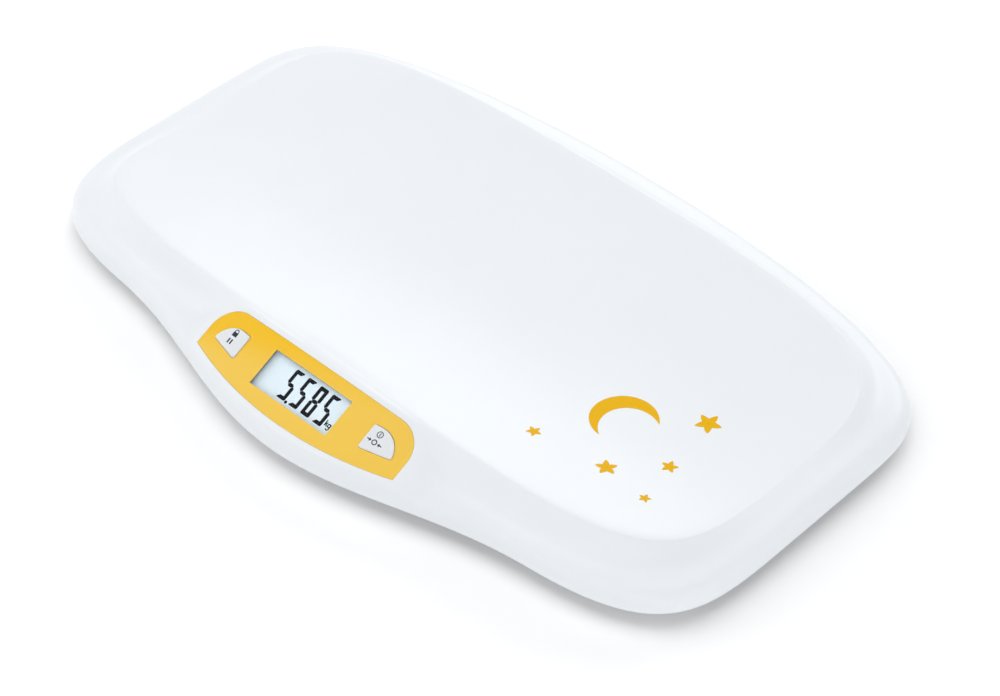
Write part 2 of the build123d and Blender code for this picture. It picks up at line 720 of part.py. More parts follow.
def make_lcd_glass():
    """Display cell: a front glass and a deeper back glass that leaves a contact ledge."""
    front = console_prism(Rectangle(GLASS_WIDTH, GLASS_HEIGHT), glass_top() - 1.3, glass_top())
    back = console_prism(Pos(0, 1.2) * Rectangle(GLASS_WIDTH, GLASS_HEIGHT - 2.4),
                         glass_top() - GLASS_THICKNESS, glass_top() - 1.3)
    return front + back


def make_backlight():
    """Light guide behind the glass."""
    top = glass_top() - GLASS_THICKNESS
    guide = Pos(0, 1.2) * Rectangle(GLASS_WIDTH - 1.0, GLASS_HEIGHT - 3.4)
    return console_prism(guide, top - LIGHT_THICKNESS, top)


def make_lcd_frame():
    """Frame that locates glass and light guide on the board."""
    outer = Rectangle(GLASS_WIDTH + 2 * FRAME_WALL, GLASS_HEIGHT + 2 * FRAME_WALL)
    frame = console_prism(outer, -BOARD_DEPTH, glass_top())
    opening = Rectangle(GLASS_WIDTH + 0.2, GLASS_HEIGHT + 0.2)
    frame -= console_prism(opening, -BOARD_DEPTH - 1, glass_top() + 1)
    low = glass_top() - GLASS_THICKNESS - LIGHT_THICKNESS
    for side in (-1, 1):
        u = side * (GLASS_WIDTH / 2 - 1.0)
        frame += console_block(min(u, u + side * 1.4), max(u, u + side * 1.4), -12, 14, low - 1.2, low)
    return frame


def make_contact_strip():
    """Striped rubber strip between the glass ledge and the board's contacts."""
    v = -GLASS_HEIGHT / 2 + 1.2
    return console_block(-29, 29, v - 0.9, v + 0.9, -BOARD_DEPTH, glass_top() - 1.3)


def board_sketch():
    """Board with its front corners cut back to clear the bulge."""
    lines = Polyline(
        (-BOARD_HALF, BOARD_BACK), (BOARD_HALF, BOARD_BACK), (BOARD_HALF, -4.0),
        (BOARD_HALF - 22.0, BOARD_FRONT), (-BOARD_HALF + 22.0, BOARD_FRONT), (-BOARD_HALF, -4.0), close=True)
    return make_face(lines)


def make_main_board():
    """Circuit board with screw holes."""
    board = console_prism(board_sketch(), -BOARD_DEPTH - BOARD_THICKNESS, -BOARD_DEPTH)
    return board - [console_cylinder(u, v, -30, 0, SMALL_SCREW_RADIUS + 0.2) for u, v in BOARD_SCREWS]


def key_centre(side):
    """Where a key presses its switch."""
    return side * 64.0, 2.0


def crown_drop(u):
    """How far the crowned surface lies below the console's plane."""
    return CROWN - math.sqrt(CROWN ** 2 - u ** 2)


def plunger_top():
    """Normal height of a released switch plunger."""
    return -BOARD_DEPTH + SWITCH_HEIGHT + BUTTON_TRAVEL + 0.5


def make_key(side):
    """Key with a crowned face, a retaining flange and a post down to the switch."""
    body = console_prism(key_outline(side), -30, 10) & crown_body(-BUTTON_PROUD)
    body -= crown_body(WALL + FLANGE_GAP + 0.2)
    rim = [e for e in body.edges() if abs(crown_error(e) + BUTTON_PROUD) < 0.05]
    body = fillet(rim, 0.6)
    below = WALL + FLANGE_GAP
    flange = crown_layer(key_outline(side, BUTTON_FLANGE), below, below + FLANGE_THICKNESS)
    u, v = key_centre(side)
    post = console_cylinder(u, v, plunger_top(), -crown_drop(u) - WALL - FLANGE_GAP - 0.3, 2.2)
    return body + flange + post


def crown_error(edge):
    """How far the middle of an edge lies below the crowned surface."""
    point = console_plane.to_local_coords(edge @ 0.5)
    return CROWN - math.hypot(point.X, point.Z + CROWN)


def make_key_plunger(side):
    """Round switch plunger that rides with its key."""
    u, v = key_centre(side)
    return console_cylinder(u, v, -BOARD_DEPTH + BUTTON_TRAVEL + 0.5, plunger_top(), PLUNGER_RADIUS)


def make_key_switches():
    """Two tact switch bodies on the board."""
    switches = []
    for side in (-1, 1):
        u, v = key_centre(side)
        half = SWITCH_SIDE / 2
        top = SWITCH_HEIGHT - BOARD_DEPTH
        body = console_block(u - half, u + half, v - half, v + half, -BOARD_DEPTH, top)
        switches.append(body - console_cylinder(u, v, -BOARD_DEPTH + 0.4, 0, PLUNGER_RADIUS + PLUNGER_GAP))
    return Compound(switches)


def make_chip():
    """Controller chip under the board."""
    return console_block(-7, 7, -6, 8, BOARD_UNDERSIDE - 1.6, BOARD_UNDERSIDE)


def make_lead_sockets():
    """Sockets for the cell leads under the board, one on each side."""
    low = BOARD_UNDERSIDE - SOCKET_HEIGHT
    right = console_block(SOCKET_INNER, SOCKET_OUTER, SOCKET_FRONT, SOCKET_BACK, low, BOARD_UNDERSIDE)
    return Compound([right, mirror(right, about=Plane.YZ)])


def make_board_screws():
    """Small screws that hold the board to the console posts."""
    low = BOARD_UNDERSIDE
    screws = []
    for u, v in BOARD_SCREWS:
        head = console_cylinder(u, v, low - SMALL_HEAD_HEIGHT, low, SMALL_HEAD_RADIUS)
        screws.append(head + console_cylinder(u, v, low - 0.2, -BOARD_DEPTH + 5.5, SMALL_SCREW_RADIUS))
    return Compound(screws)


# -------------------------------------------------------------------- unit key
def unit_board_z():
    """Lower face of the unit key's small board."""
    return 15.0


def unit_plunger_low():
    """Lower end of the unit switch's plunger."""
    return unit_board_z() - SWITCH_HEIGHT - BUTTON_TRAVEL - 0.5


def make_unit_button():
    """Round key in the floor with a flange inside."""
    low = PAN_FLOOR + UNIT_RECESS
    key = cylinder(UNIT_X, UNIT_Y, low, unit_plunger_low(), 2.2)
    key += cylinder(UNIT_X, UNIT_Y, low, PAN_TOP + 0.5, UNIT_RADIUS)
    return key + cylinder(UNIT_X, UNIT_Y, PAN_TOP + 0.3, PAN_TOP + 1.3, UNIT_RADIUS + 1.3)


def make_unit_plunger():
    """Plunger of the unit switch, riding with its key."""
    return cylinder(UNIT_X, UNIT_Y, unit_plunger_low(), unit_board_z() - BUTTON_TRAVEL - 0.5, PLUNGER_RADIUS)


def make_unit_switch():
    """Tact switch body that hangs from the small board."""
    half = SWITCH_SIDE / 2
    body = block(UNIT_X - half, UNIT_X + half, UNIT_Y - half, UNIT_Y + half,
                 unit_board_z() - SWITCH_HEIGHT, unit_board_z())
    return body - cylinder(UNIT_X, UNIT_Y, 0, unit_board_z() - 0.4, PLUNGER_RADIUS + PLUNGER_GAP)


def make_unit_board():
    """Small board on two posts."""
    board = block(UNIT_X - 12.5, UNIT_X + 12.5, UNIT_Y - 6, UNIT_Y + 6,
                  unit_board_z(), unit_board_z() + BOARD_THICKNESS)
    return board - [cylinder(x, y, 0, 30, SMALL_SCREW_RADIUS + 0.2) for x, y in unit_posts()]


def make_unit_screws():
    """Screws of the small board."""
    top = unit_board_z() + BOARD_THICKNESS
    screws = []
    for x, y in unit_posts():
        head = cylinder(x, y, top, top + SMALL_HEAD_HEIGHT, SMALL_HEAD_RADIUS)
        screws.append(head + cylinder(x, y, top - 6.0, top + 0.2, SMALL_SCREW_RADIUS))
    return Compound(screws)


# ---------------------------------------------------------------- weighing feet
def make_foot_pad(x, y):
    """Rubber pad with a bevelled edge that the scale stands on."""
    pad = cylinder(x, y, 0, PAD_HEIGHT, PAD_RADIUS)
    return chamfer(pad.edges().group_by(Axis.Z)[0], 0.6)


def make_foot_carrier(x, y):
    """Plastic foot: disc, stem through the holder and a snap collar above it."""
    top = PAD_HEIGHT + CARRIER_THICKNESS
    disc = cylinder(x, y, PAD_HEIGHT, top, CARRIER_RADIUS)
    disc = fillet(disc.edges().group_by(Axis.Z)[-1], 1.2)
    stem = cylinder(x, y, top - 0.5, CELL_Z - FOOT_PLAY, STEM_RADIUS)
    collar_low = PAN_TOP + HOLDER_FLOOR + 0.3
    collar = cylinder(x, y, collar_low, collar_low + SNAP_THICKNESS, SNAP_RADIUS)
    return disc + stem + collar


def make_cell_holder(x, y):
    """Square holder with a ledge for the steel plate and two screw ears."""
    half = HOLDER_SIDE / 2
    body = block(x - half, x + half, y - half, y + half, PAN_TOP, HOLDER_TOP)
    body = fillet(body.edges().filter_by(Axis.Z), 3.0)
    for ex, ey in ear_places(x, y):
        body += cylinder(ex, ey, RIB_TOP, EAR_TOP, EAR_RADIUS)
        body += block(min(x, ex), max(x, ex), ey - EAR_RADIUS, ey + EAR_RADIUS, RIB_TOP, EAR_TOP)
    seat = CELL_SIDE / 2 + CELL_GAP
    body -= block(x - seat, x + seat, y - seat, y + seat, CELL_Z, 40)
    inner = CELL_SIDE / 2 - CELL_LEDGE
    body -= block(x - inner, x + inner, y - inner, y + inner, PAN_TOP + HOLDER_FLOOR, 40)
    body -= cylinder(x, y, 0, 20, STEM_RADIUS + STEM_GAP)
    body -= [cylinder(ex, ey, 0, 30, SMALL_SCREW_RADIUS + 0.2) for ex, ey in ear_places(x, y)]
    inboard = -math.copysign(1, x)
    ends = sorted((x, x + inboard * 40))
    return body - block(*ends, y - 1.5, y + 1.5, CELL_Z + CELL_THICKNESS, 40)


def make_load_cell(x, y):
    """Steel plate cut into an outer frame and a bending centre tongue."""
    half = CELL_SIDE / 2
    plate = block(x - half, x + half, y - half, y + half, CELL_Z, CELL_Z + CELL_THICKNESS)
    plate = fillet(plate.edges().filter_by(Axis.Z), 2.0)
    slot_in = TONGUE_WIDTH / 2
    for side in (-1, 1):
        a, b = y + side * slot_in, y + side * (slot_in + CELL_SLOT)
        plate -= block(x - 9.5, x + 9.5, min(a, b), max(a, b), 0, 40)
    outboard = math.copysign(1, x)
    a, b = x + outboard * 7.5, x + outboard * 9.5
    return plate - block(min(a, b), max(a, b), y - slot_in - 0.1, y + slot_in + 0.1, 0, 40)


def make_gauge_seals():
    """Sealant over the strain gauge on every tongue."""
    top = CELL_Z + CELL_THICKNESS
    seals = []
    for x, y in FEET.values():
        root = x - math.copysign(3.0, x)
        seal = block(root - 4, root + 4, y - 4, y + 4, top, top + 1.2)
        seals.append(fillet(seal.edges().group_by(Axis.Z)[-1], 0.8))
    return Compound(seals)


def make_holder_screws():
    """Screws through the holder ears into the base pan."""
    screws = []
    for x, y in FEET.values():
        for ex, ey in ear_places(x, y):
            head = cylinder(ex, ey, EAR_TOP, EAR_TOP + SMALL_HEAD_HEIGHT, SMALL_HEAD_RADIUS)
            screws.append(head + cylinder(ex, ey, PAN_FLOOR + 1.4, EAR_TOP + 0.2, SMALL_SCREW_RADIUS))
    return Compound(screws)


def make_housing_screws():
    """Long screws from the wells of the base pan into the shell's bosses."""
    seat = WELL_TOP - 2.4
    screws = []
    for x, y in SHELL_SCREWS:
        head = cylinder(x, y, seat - SCREW_HEAD_HEIGHT, seat, SCREW_HEAD_RADIUS)
        drive = cylinder(x, y, 0, seat - SCREW_HEAD_HEIGHT + 0.8, 0.9)
        shank = cylinder(x, y, seat - 0.2, WELL_TOP + SCREW_BITE - 0.5, SCREW_RADIUS)
        screws.append(head + shank - drive)
    return Compound(screws)


# ------------------------------------------------------------------------ leads
def socket_entry():
    """Where a lead ends, just below the tilted face of its socket."""
    middle = (SOCKET_FRONT + SOCKET_BACK) / 2
    depth = BOARD_UNDERSIDE - SOCKET_HEIGHT
    point = console_plane.origin + console_plane.y_dir * middle + console_plane.z_dir * depth
    return point.Y, point.Z - LEAD_RADIUS * math.tan(tilt) - 0.1


def rounded_route(points, radius):
    """Wire of straight runs joined by arcs."""
    points = [Vector(*point) for point in points]
    edges = []
    start = points[0]
    for before, corner, after in zip(points, points[1:], points[2:]):
        a = (before - corner).normalized()
        b = (after - corner).normalized()
        half = math.acos(max(-1.0, min(1.0, a.dot(b)))) / 2
        cut = radius / math.tan(half)
        p, q = corner + a * cut, corner + b * cut
        bisector = (a + b).normalized()
        middle = corner + bisector * (radius / math.sin(half) - radius)
        edges.append(Edge.make_line(start, p))
        edges.append(Edge.make_three_point_arc(p, middle, q))
        start = q
    edges.append(Edge.make_line(start, points[-1]))
    return Wire(edges)


def make_cell_lead(x, y):
    """Lead from a gauge, over its holder, along the floor ribs and up to the board."""
    side = math.copysign(1, x)
    back = y > 0
    top = CELL_Z + CELL_THICKNESS + LEAD_RADIUS + 0.1
    lane = side * LEAD_LANES[0 if back else 1]
    rest = LEAD_REST_Y if back else y
    end_y, end_z = socket_entry()
    past_ear = x - side * (EAR + EAR_RADIUS + 2.0)
    points = [(x - side * 7.2, y, top), (past_ear, y, top), (past_ear - side * 10.0, y, LEAD_Z)]
    if back:
        points += [(side * LEAD_CORNER_X, y, LEAD_Z), (side * LEAD_CORNER_X, rest, LEAD_Z)]
    points += [(lane, rest, LEAD_Z), (lane, end_y, LEAD_Z), (lane, end_y, end_z)]
    path = rounded_route(points, LEAD_BEND)
    start = Plane(origin=path @ 0, z_dir=path % 0)
    return sweep(start * Circle(LEAD_RADIUS), path=path)


# ------------------------------------------------------------------- write all
if __name__ == "__main__":
    save(make_top_shell(), "top_shell")
    save(make_base_pan(), "base_pan")
    save(make_console_panel(), "console_panel")
    save(make_display_lens(), "display_lens")
    save(make_lcd_glass(), "lcd_glass")
    save(make_backlight(), "lcd_backlight")
    save(make_lcd_frame(), "lcd_frame")
    save(make_contact_strip(), "contact_strip")
    save(make_main_board(), "main_board")
    save(make_chip(), "controller_chip")
    save(make_lead_sockets(), "lead_sockets")
    save(make_key_switches(), "key_switches")
    save(make_board_screws(), "board_screws")
    for side, name in ((-1, "hold"), (1, "tare")):
        save(make_key(side), f"{name}_button")
        save(make_key_plunger(side), f"{name}_plunger")
    save(make_battery_door(), "battery_door")
    save(make_batteries(), "batteries")
    save(make_positive_contacts(), "positive_contacts")
    save(make_negative_contacts(), "negative_contacts")
    save(make_unit_button(), "unit_button")
    save(make_unit_plunger(), "unit_plunger")
    save(make_unit_switch(), "unit_switch")
    save(make_unit_board(), "unit_board")
    save(make_unit_screws(), "unit_board_screws")
    for corner, (x, y) in FEET.items():
        save(make_foot_pad(x, y), f"foot_pad_{corner}")
        save(make_foot_carrier(x, y), f"foot_carrier_{corner}")
        save(make_cell_holder(x, y), f"cell_holder_{corner}")
        save(make_load_cell(x, y), f"load_cell_{corner}")
        save(make_cell_lead(x, y), f"cell_lead_{corner}")
    save(make_gauge_seals(), "gauge_seals")
    save(make_holder_screws(), "holder_screws")
    save(make_housing_screws(), "housing_screws")
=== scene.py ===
"""Looks of a digital baby weighing scale: a white cradle-shaped platform with a yellow
console panel. Sizes are in millimetres here and become metres when a mesh is made."""
import math

import bpy
import numpy as np
from mathutils import Matrix, Vector


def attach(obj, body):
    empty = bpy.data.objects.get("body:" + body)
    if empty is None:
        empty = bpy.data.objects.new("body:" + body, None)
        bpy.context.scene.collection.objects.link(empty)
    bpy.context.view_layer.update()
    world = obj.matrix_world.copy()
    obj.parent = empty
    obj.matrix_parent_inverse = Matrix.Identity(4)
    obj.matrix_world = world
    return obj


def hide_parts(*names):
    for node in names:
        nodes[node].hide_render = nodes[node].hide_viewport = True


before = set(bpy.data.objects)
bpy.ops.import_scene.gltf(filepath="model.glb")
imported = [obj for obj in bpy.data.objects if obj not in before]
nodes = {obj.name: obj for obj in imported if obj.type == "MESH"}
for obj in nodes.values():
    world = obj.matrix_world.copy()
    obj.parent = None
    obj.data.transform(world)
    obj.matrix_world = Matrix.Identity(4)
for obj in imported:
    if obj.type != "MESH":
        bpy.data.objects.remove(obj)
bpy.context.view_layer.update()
MM = 0.001

# ------------------------------------------------------------- shell dimensions
LENGTH, WIDTH = 550.0, 335.0
PLAN_CENTRE_Y = 12.0
SKIRT_BOTTOM = 11.0
SHOULDER_Z = 25.5
BULGE_DEPTH, BULGE_HALF_WIDTH = 33.5, 180.0
BACK_BOW = 2222.0
BACK_SQUARENESS, FRONT_SQUARENESS = 6.5, 5.4
WALL = 2.6
RIM_HALF_LENGTH, RIM_BACK, RIM_FRONT = 249.0, 120.0, 125.5
RIM_BACK_BOW, RIM_SQUARENESS = 7000.0, 4.9
DISH_FLOOR, DISH_RISE_ACROSS, DISH_RISE_ALONG = 25.5, 18.5, 2.0

CONSOLE_Y, CONSOLE_Z = -138.9, 36.5
TILT = math.radians(25.5)   # slope of the console
CROWN = 650.0
CONSOLE_TOP = 45.75
CAP_SOFTNESS = 1.0          # width of the rounding below CONSOLE_TOP
CONSOLE_SOFTNESS = 3.5      # width of the blend from skirt to console, which widens past the panel
SOFTNESS_GROWTH, SOFTNESS_REACH = 0.3, 30.0
FLANK_START, FLANK_FALL = 2.5, 0.03
CREST_LIFT, CREST_REACH, CREST_WIDTH = 1.4, 115.0, 7.0
PANEL_HALF, PANEL_BACK, PANEL_CORNER_V, PANEL_BOW = 85.3, 21.2, -10.5, 13.2
PANEL_CORNER_RADIUS = 19.0
PANEL_GAP = 0.15
RECESS_LOW, RECESS_HIGH = -14.0, 20.0   # the recess is cut right through, the panel covers it
GLASS_FACE = -4.2           # display glass below the console's plane
KEY_PROUD = 0.9
INK_LIFT = 0.03             # marks lie this far above what carries them
PRINT_LIFT = 0.06

HALF_LENGTH = LENGTH / 2
OUTER_BACK = WIDTH / 2 - PLAN_CENTRE_Y
OUTER_FRONT = WIDTH / 2 + PLAN_CENTRE_Y - BULGE_DEPTH
SHELL_ANGLES = 320
ROWS_BETWEEN, INNER_ROWS_BETWEEN = 6, 2
SHARP_DEGREES = 40


# ------------------------------------------------------------------ mesh making
def new_mesh(name, points, faces, body, smooth=True):
    """Mesh object from an array of points in millimetres and arrays of faces."""
    mesh = bpy.data.meshes.new(name)
    mesh.from_pydata((np.asarray(points) * MM).tolist(), [], [list(map(int, face)) for face in faces])
    mesh.validate()
    mesh.polygons.foreach_set("use_smooth", np.full(len(mesh.polygons), smooth))
    piece = bpy.data.objects.new(name, mesh)
    bpy.context.scene.collection.objects.link(piece)
    if body:
        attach(piece, body)
    return piece


def grid_faces(rows, columns, closed):
    """Quads of a grid of rows by columns, wrapped round the columns if closed."""
    across = np.arange(columns if closed else columns - 1)
    beside = (across + 1) % columns
    base = np.arange(rows - 1)[:, None] * columns
    beyond = base + columns
    return np.stack([base + across, base + beside, beyond + beside, beyond + across], axis=-1).reshape(-1, 4)


# ------------------------------------------------------------- shell's formulas
def superellipse(angle, half_x, half_y, squareness):
    """|x/a|^n + |y/b|^n = 1, by the angle from +Y."""
    s, c = np.sin(angle), np.cos(angle)
    reach = (np.abs(s / half_x) ** squareness + np.abs(c / half_y) ** squareness) ** (-1 / squareness)
    return reach * s, reach * c


def outer_edge(angle):
    """Superellipse with a bowed back edge and a cosine-shaped console bulge."""
    bx, by = superellipse(angle, HALF_LENGTH, OUTER_BACK, BACK_SQUARENESS)
    by = by - bx ** 2 / BACK_BOW * (by / OUTER_BACK)
    fx, fy = superellipse(angle, HALF_LENGTH, OUTER_FRONT, FRONT_SQUARENESS)
    share = np.minimum(np.abs(fx) / BULGE_HALF_WIDTH, 1.0)
    fy = fy - BULGE_DEPTH * 0.5 * (1 + np.cos(np.pi * share))
    back = np.cos(angle) >= 0
    return np.where(back, bx, fx), np.where(back, by, fy) + PLAN_CENTRE_Y


def rim_line(angle):
    """Crest of the rim in plan: a superellipse, slightly bowed at the back."""
    bx, by = superellipse(angle, RIM_HALF_LENGTH, RIM_BACK, RIM_SQUARENESS)
    by = by - bx ** 2 / RIM_BACK_BOW * (by / RIM_BACK)
    fx, fy = superellipse(angle, RIM_HALF_LENGTH, RIM_FRONT, RIM_SQUARENESS)
    back = np.cos(angle) >= 0
    return np.where(back, bx, fx), np.where(back, by, fy) + PLAN_CENTRE_Y


def crest_lift(x, y):
    """Soft swelling of the crest behind the console: a cosine along X, a bell across."""
    along = 0.5 * (1 + np.cos(np.pi * np.minimum(np.abs(x) / CREST_REACH, 1.0)))
    return CREST_LIFT * along * np.exp(-((y - PLAN_CENTRE_Y + RIM_FRONT) / CREST_WIDTH) ** 2)


def dish_height(x, y):
    """Cradle: two parabolas added, lowest in the middle, and the crest's swelling."""
    across = (y - PLAN_CENTRE_Y) / ((RIM_BACK + RIM_FRONT) / 2)
    cradle = DISH_FLOOR + DISH_RISE_ACROSS * across ** 2 + DISH_RISE_ALONG * (x / RIM_HALF_LENGTH) ** 2
    return cradle + crest_lift(x, y)


def blend_up(low, high, width):
    """Smooth maximum: a parabola rounds the corner where the two differ by less than the width."""
    near = np.maximum(width - np.abs(low - high), 0.0) / width
    return np.maximum(low, high) + near ** 2 * width / 4


def past_panel(x, y):
    """Distance outside a rectangle with round back corners, open to the front."""
    up_slope = (y - CONSOLE_Y) / math.cos(TILT)
    across = np.maximum(np.abs(x) - PANEL_HALF + PANEL_CORNER_RADIUS, 0.0)
    behind = np.maximum(up_slope - PANEL_BACK + PANEL_CORNER_RADIUS, 0.0)
    return np.maximum(np.hypot(across, behind) - PANEL_CORNER_RADIUS, 0.0)


def console_height(x, y):
    """Sloping plane less a crown of x^2 / 2R, falling away by a parabola past the panel."""
    level = CONSOLE_Z + (y - CONSOLE_Y) * math.tan(TILT) - x ** 2 / (2 * CROWN * math.cos(TILT))
    flank = np.maximum(0.0, past_panel(x, y) - FLANK_START)
    return level - FLANK_FALL * flank ** 2


# Stations of the skirt: share of the way from outline to rim, height or share of
# the rise from shoulder to rim, and how far the console may lift the surface.
SKIRT = [
    (0.0, SKIRT_BOTTOM, None, 0.0),
    (0.0, SKIRT_BOTTOM + 2.5, None, 0.5),
    (0.015, SHOULDER_Z - 8.9, None, 3.0),
    (0.05, SHOULDER_Z - 6.1, None, 5.0),
    (0.105, SHOULDER_Z - 3.6, None, 99.0),
    (0.18, SHOULDER_Z - 1.7, None, 99.0),
    (0.28, SHOULDER_Z - 0.5, None, 99.0),
    (0.40, None, 0.015, 99.0),
    (0.52, None, 0.08, 99.0),
    (0.63, None, 0.21, 99.0),
    (0.73, None, 0.40, 99.0),
    (0.82, None, 0.635, 99.0),
    (0.89, None, 0.80, 99.0),
    (0.95, None, 0.91, 99.0),
    (1.0, None, 0.965, 0.0),
]
DISH_SCALES = [0.97, 0.92, 0.84, 0.72, 0.56, 0.36, 0.12, 0.02]


def skirt_row(angle, share, height, rise, lift):
    """One closed row of the skirt, raised where the console passes through it."""
    ox, oy = outer_edge(angle)
    rx, ry = rim_line(angle)
    x, y = ox + share * (rx - ox), oy + share * (ry - oy)
    z = np.full_like(x, height) if rise is None else SHOULDER_Z + (dish_height(rx, ry) - SHOULDER_Z) * rise
    console = console_height(x, y)
    if lift:
        softness = CONSOLE_SOFTNESS + SOFTNESS_GROWTH * np.minimum(past_panel(x, y), SOFTNESS_REACH)
        z = blend_up(z, np.minimum(console, z + lift), softness)
        z = -blend_up(-z, -CONSOLE_TOP, CAP_SOFTNESS)
    return np.stack([x, y, z], axis=-1)


def dish_row(angle, scale):
    """One closed row of the tray: the rim line shrunk to its centre, on the cradle."""
    rx, ry = rim_line(angle)
    x, y = rx * scale, PLAN_CENTRE_Y + (ry - PLAN_CENTRE_Y) * scale
    return np.stack([x, y, dish_height(x, y)], axis=-1)


def smooth_rows(rows, between):
    """Catmull-Rom curves through the rows, with so many steps between two of them."""
    padded = np.concatenate([2 * rows[:1] - rows[1:2], rows, 2 * rows[-1:] - rows[-2:-1]])
    t = (np.arange(between) / between)[:, None, None]
    a, b, c, d = (padded[k:len(padded) - 3 + k][:, None] for k in range(4))
    square, cube = (2 * a - 5 * b + 4 * c - d) * t ** 2, (3 * b - a - 3 * c + d) * t ** 3
    curve = 0.5 * (2 * b + (c - a) * t + square + cube)
    return np.concatenate([curve.reshape(-1, *rows.shape[1:]), rows[-1:]])


def inset_rows(rows, depth):
    """The same net moved inwards along its normals, the cross products of its steps."""
    up = np.empty_like(rows)
    up[1:-1], up[0], up[-1] = rows[2:] - rows[:-2], rows[1] - rows[0], rows[-1] - rows[-2]
    around = np.roll(rows, -1, axis=1) - np.roll(rows, 1, axis=1)
    normal = np.cross(up, around)
    return rows - normal / np.linalg.norm(normal, axis=-1, keepdims=True) * depth


# ------------------------------------------------------------- console's plane
def on_console(u, v, lift=0.0):
    """Points of the crowned console surface, raised along its normal."""
    u, v = np.broadcast_arrays(np.asarray(u, float), np.asarray(v, float))
    return in_console_plane(u, v, lift - (CROWN - np.sqrt(CROWN ** 2 - u ** 2)))


def in_console_plane(u, v, normal):
    """Points u along X, v up the slope and a distance along the plane's normal."""
    y = CONSOLE_Y + v * math.cos(TILT) - normal * math.sin(TILT)
    z = CONSOLE_Z + v * math.sin(TILT) + normal * math.cos(TILT)
    return np.stack(np.broadcast_arrays(u, y, z), axis=-1).astype(float)


def arc(centre, radius, start, end, steps):
    """Points on a circle between two angles in degrees."""
    angle = np.radians(np.linspace(start, end, steps))
    return np.stack([centre[0] + radius * np.cos(angle), centre[1] + radius * np.sin(angle)], axis=-1)


def panel_outline(gap):
    """Straight back, round back corners and a front edge on one large circle."""
    half, back, corner = PANEL_HALF + gap, PANEL_BACK + gap, PANEL_CORNER_V - gap
    r = PANEL_CORNER_RADIUS
    bow_radius = (half ** 2 + PANEL_BOW ** 2) / (2 * PANEL_BOW)
    sweep = math.degrees(math.asin(half / bow_radius))
    return np.concatenate([
        arc((half - r, back - r), r, 0, 90, 24),
        arc((-half + r, back - r), r, 90, 180, 24),
        arc((0, corner - PANEL_BOW + bow_radius), bow_radius, 270 - sweep, 270 + sweep, 60),
    ])


# --------------------------------------------------------------- floor and light
WHITE_FROM, WHITE_AT = 0.4, 0.75   # metres from the scale
FLOOR_HALF = 4000
SOFTBOXES = [   # name, place and size in metres, power, seen in the gloss
    ("top_softbox", (0.0, 0.1, 1.9), (1.8, 1.6), 11.5, True),
    ("back_softbox", (-0.45, 1.75, 0.92), (2.2, 0.8), 16.5, True),
    ("left_high_softbox", (-1.2, -0.3, 1.3), (1.2, 1.2), 5.0, True),
    ("left_low_softbox", (-1.4, -0.8, 0.6), (1.4, 0.7), 7.0, False),
    ("right_softbox", (1.6, 0.5, 0.5), (1.4, 0.7), 5.8, False),
    ("front_softbox", (1.3, -1.3, 0.3), (1.6, 0.45), 6.8, False),
    ("near_softbox", (0.35, -1.0, 0.6), (1.2, 0.6), 2.0, False),
]


def seen_directly(tree):
    """1 for camera, glossy and transmission rays, 0 for the rays that light the scale."""
    path = tree.nodes.new("ShaderNodeLightPath")
    total = path.outputs["Is Camera Ray"]
    for kind in ("Is Glossy Ray", "Is Transmission Ray"):
        either = tree.nodes.new("ShaderNodeMath")
        either.operation = "MAXIMUM"
        tree.links.new(total, either.inputs[0])
        tree.links.new(path.outputs[kind], either.inputs[1])
        total = either.outputs[0]
    return total


def far_white(tree, seen):
    """A seen floor that turns into plain white away from the scale, by a smooth step of distance."""
    place = tree.nodes.new("ShaderNodeTexCoord")
    distance = tree.nodes.new("ShaderNodeVectorMath")
    distance.operation = "LENGTH"
    tree.links.new(place.outputs["Object"], distance.inputs[0])
    step = tree.nodes.new("ShaderNodeMapRange")
    step.interpolation_type = "SMOOTHSTEP"
    step.inputs["From Min"].default_value, step.inputs["From Max"].default_value = WHITE_FROM, WHITE_AT
    tree.links.new(distance.outputs["Value"], step.inputs["Value"])
    white = tree.nodes.new("ShaderNodeEmission")
    mix = tree.nodes.new("ShaderNodeMixShader")
    tree.links.new(step.outputs["Result"], mix.inputs["Fac"])
    tree.links.new(seen.outputs[0], mix.inputs[1])
    tree.links.new(white.outputs[0], mix.inputs[2])
    return mix


def add_floor():
    """Plain pale floor that shows white, keeps the soft shadow and is clear from below."""
    corners = [(x * FLOOR_HALF, y * FLOOR_HALF, 0) for x, y in ((-1, -1), (1, -1), (1, 1), (-1, 1))]
    floor = new_mesh("studio_floor", corners, [(0, 1, 2, 3)], None, smooth=False)
    paint = bpy.data.materials.new("studio_paper")
    paint.use_nodes = True
    tree = paint.node_tree
    tree.nodes.clear()
    plain = tree.nodes.new("ShaderNodeBsdfDiffuse")
    plain.inputs["Color"].default_value = (0.95, 0.95, 0.95, 1)
    seen = tree.nodes.new("ShaderNodeBsdfDiffuse")
    seen.inputs["Color"].default_value = (1.2, 1.19, 1.18, 1)
    top = tree.nodes.new("ShaderNodeMixShader")
    tree.links.new(seen_directly(tree), top.inputs["Fac"])
    tree.links.new(plain.outputs[0], top.inputs[1])
    tree.links.new(far_white(tree, seen).outputs[0], top.inputs[2])
    side = tree.nodes.new("ShaderNodeNewGeometry")
    clear = tree.nodes.new("ShaderNodeBsdfTransparent")
    both = tree.nodes.new("ShaderNodeMixShader")
    tree.links.new(side.outputs["Backfacing"], both.inputs["Fac"])
    tree.links.new(top.outputs[0], both.inputs[1])
    tree.links.new(clear.outputs[0], both.inputs[2])
    out = tree.nodes.new("ShaderNodeOutputMaterial")
    tree.links.new(both.outputs[0], out.inputs["Surface"])
    floor.data.materials.append(paint)


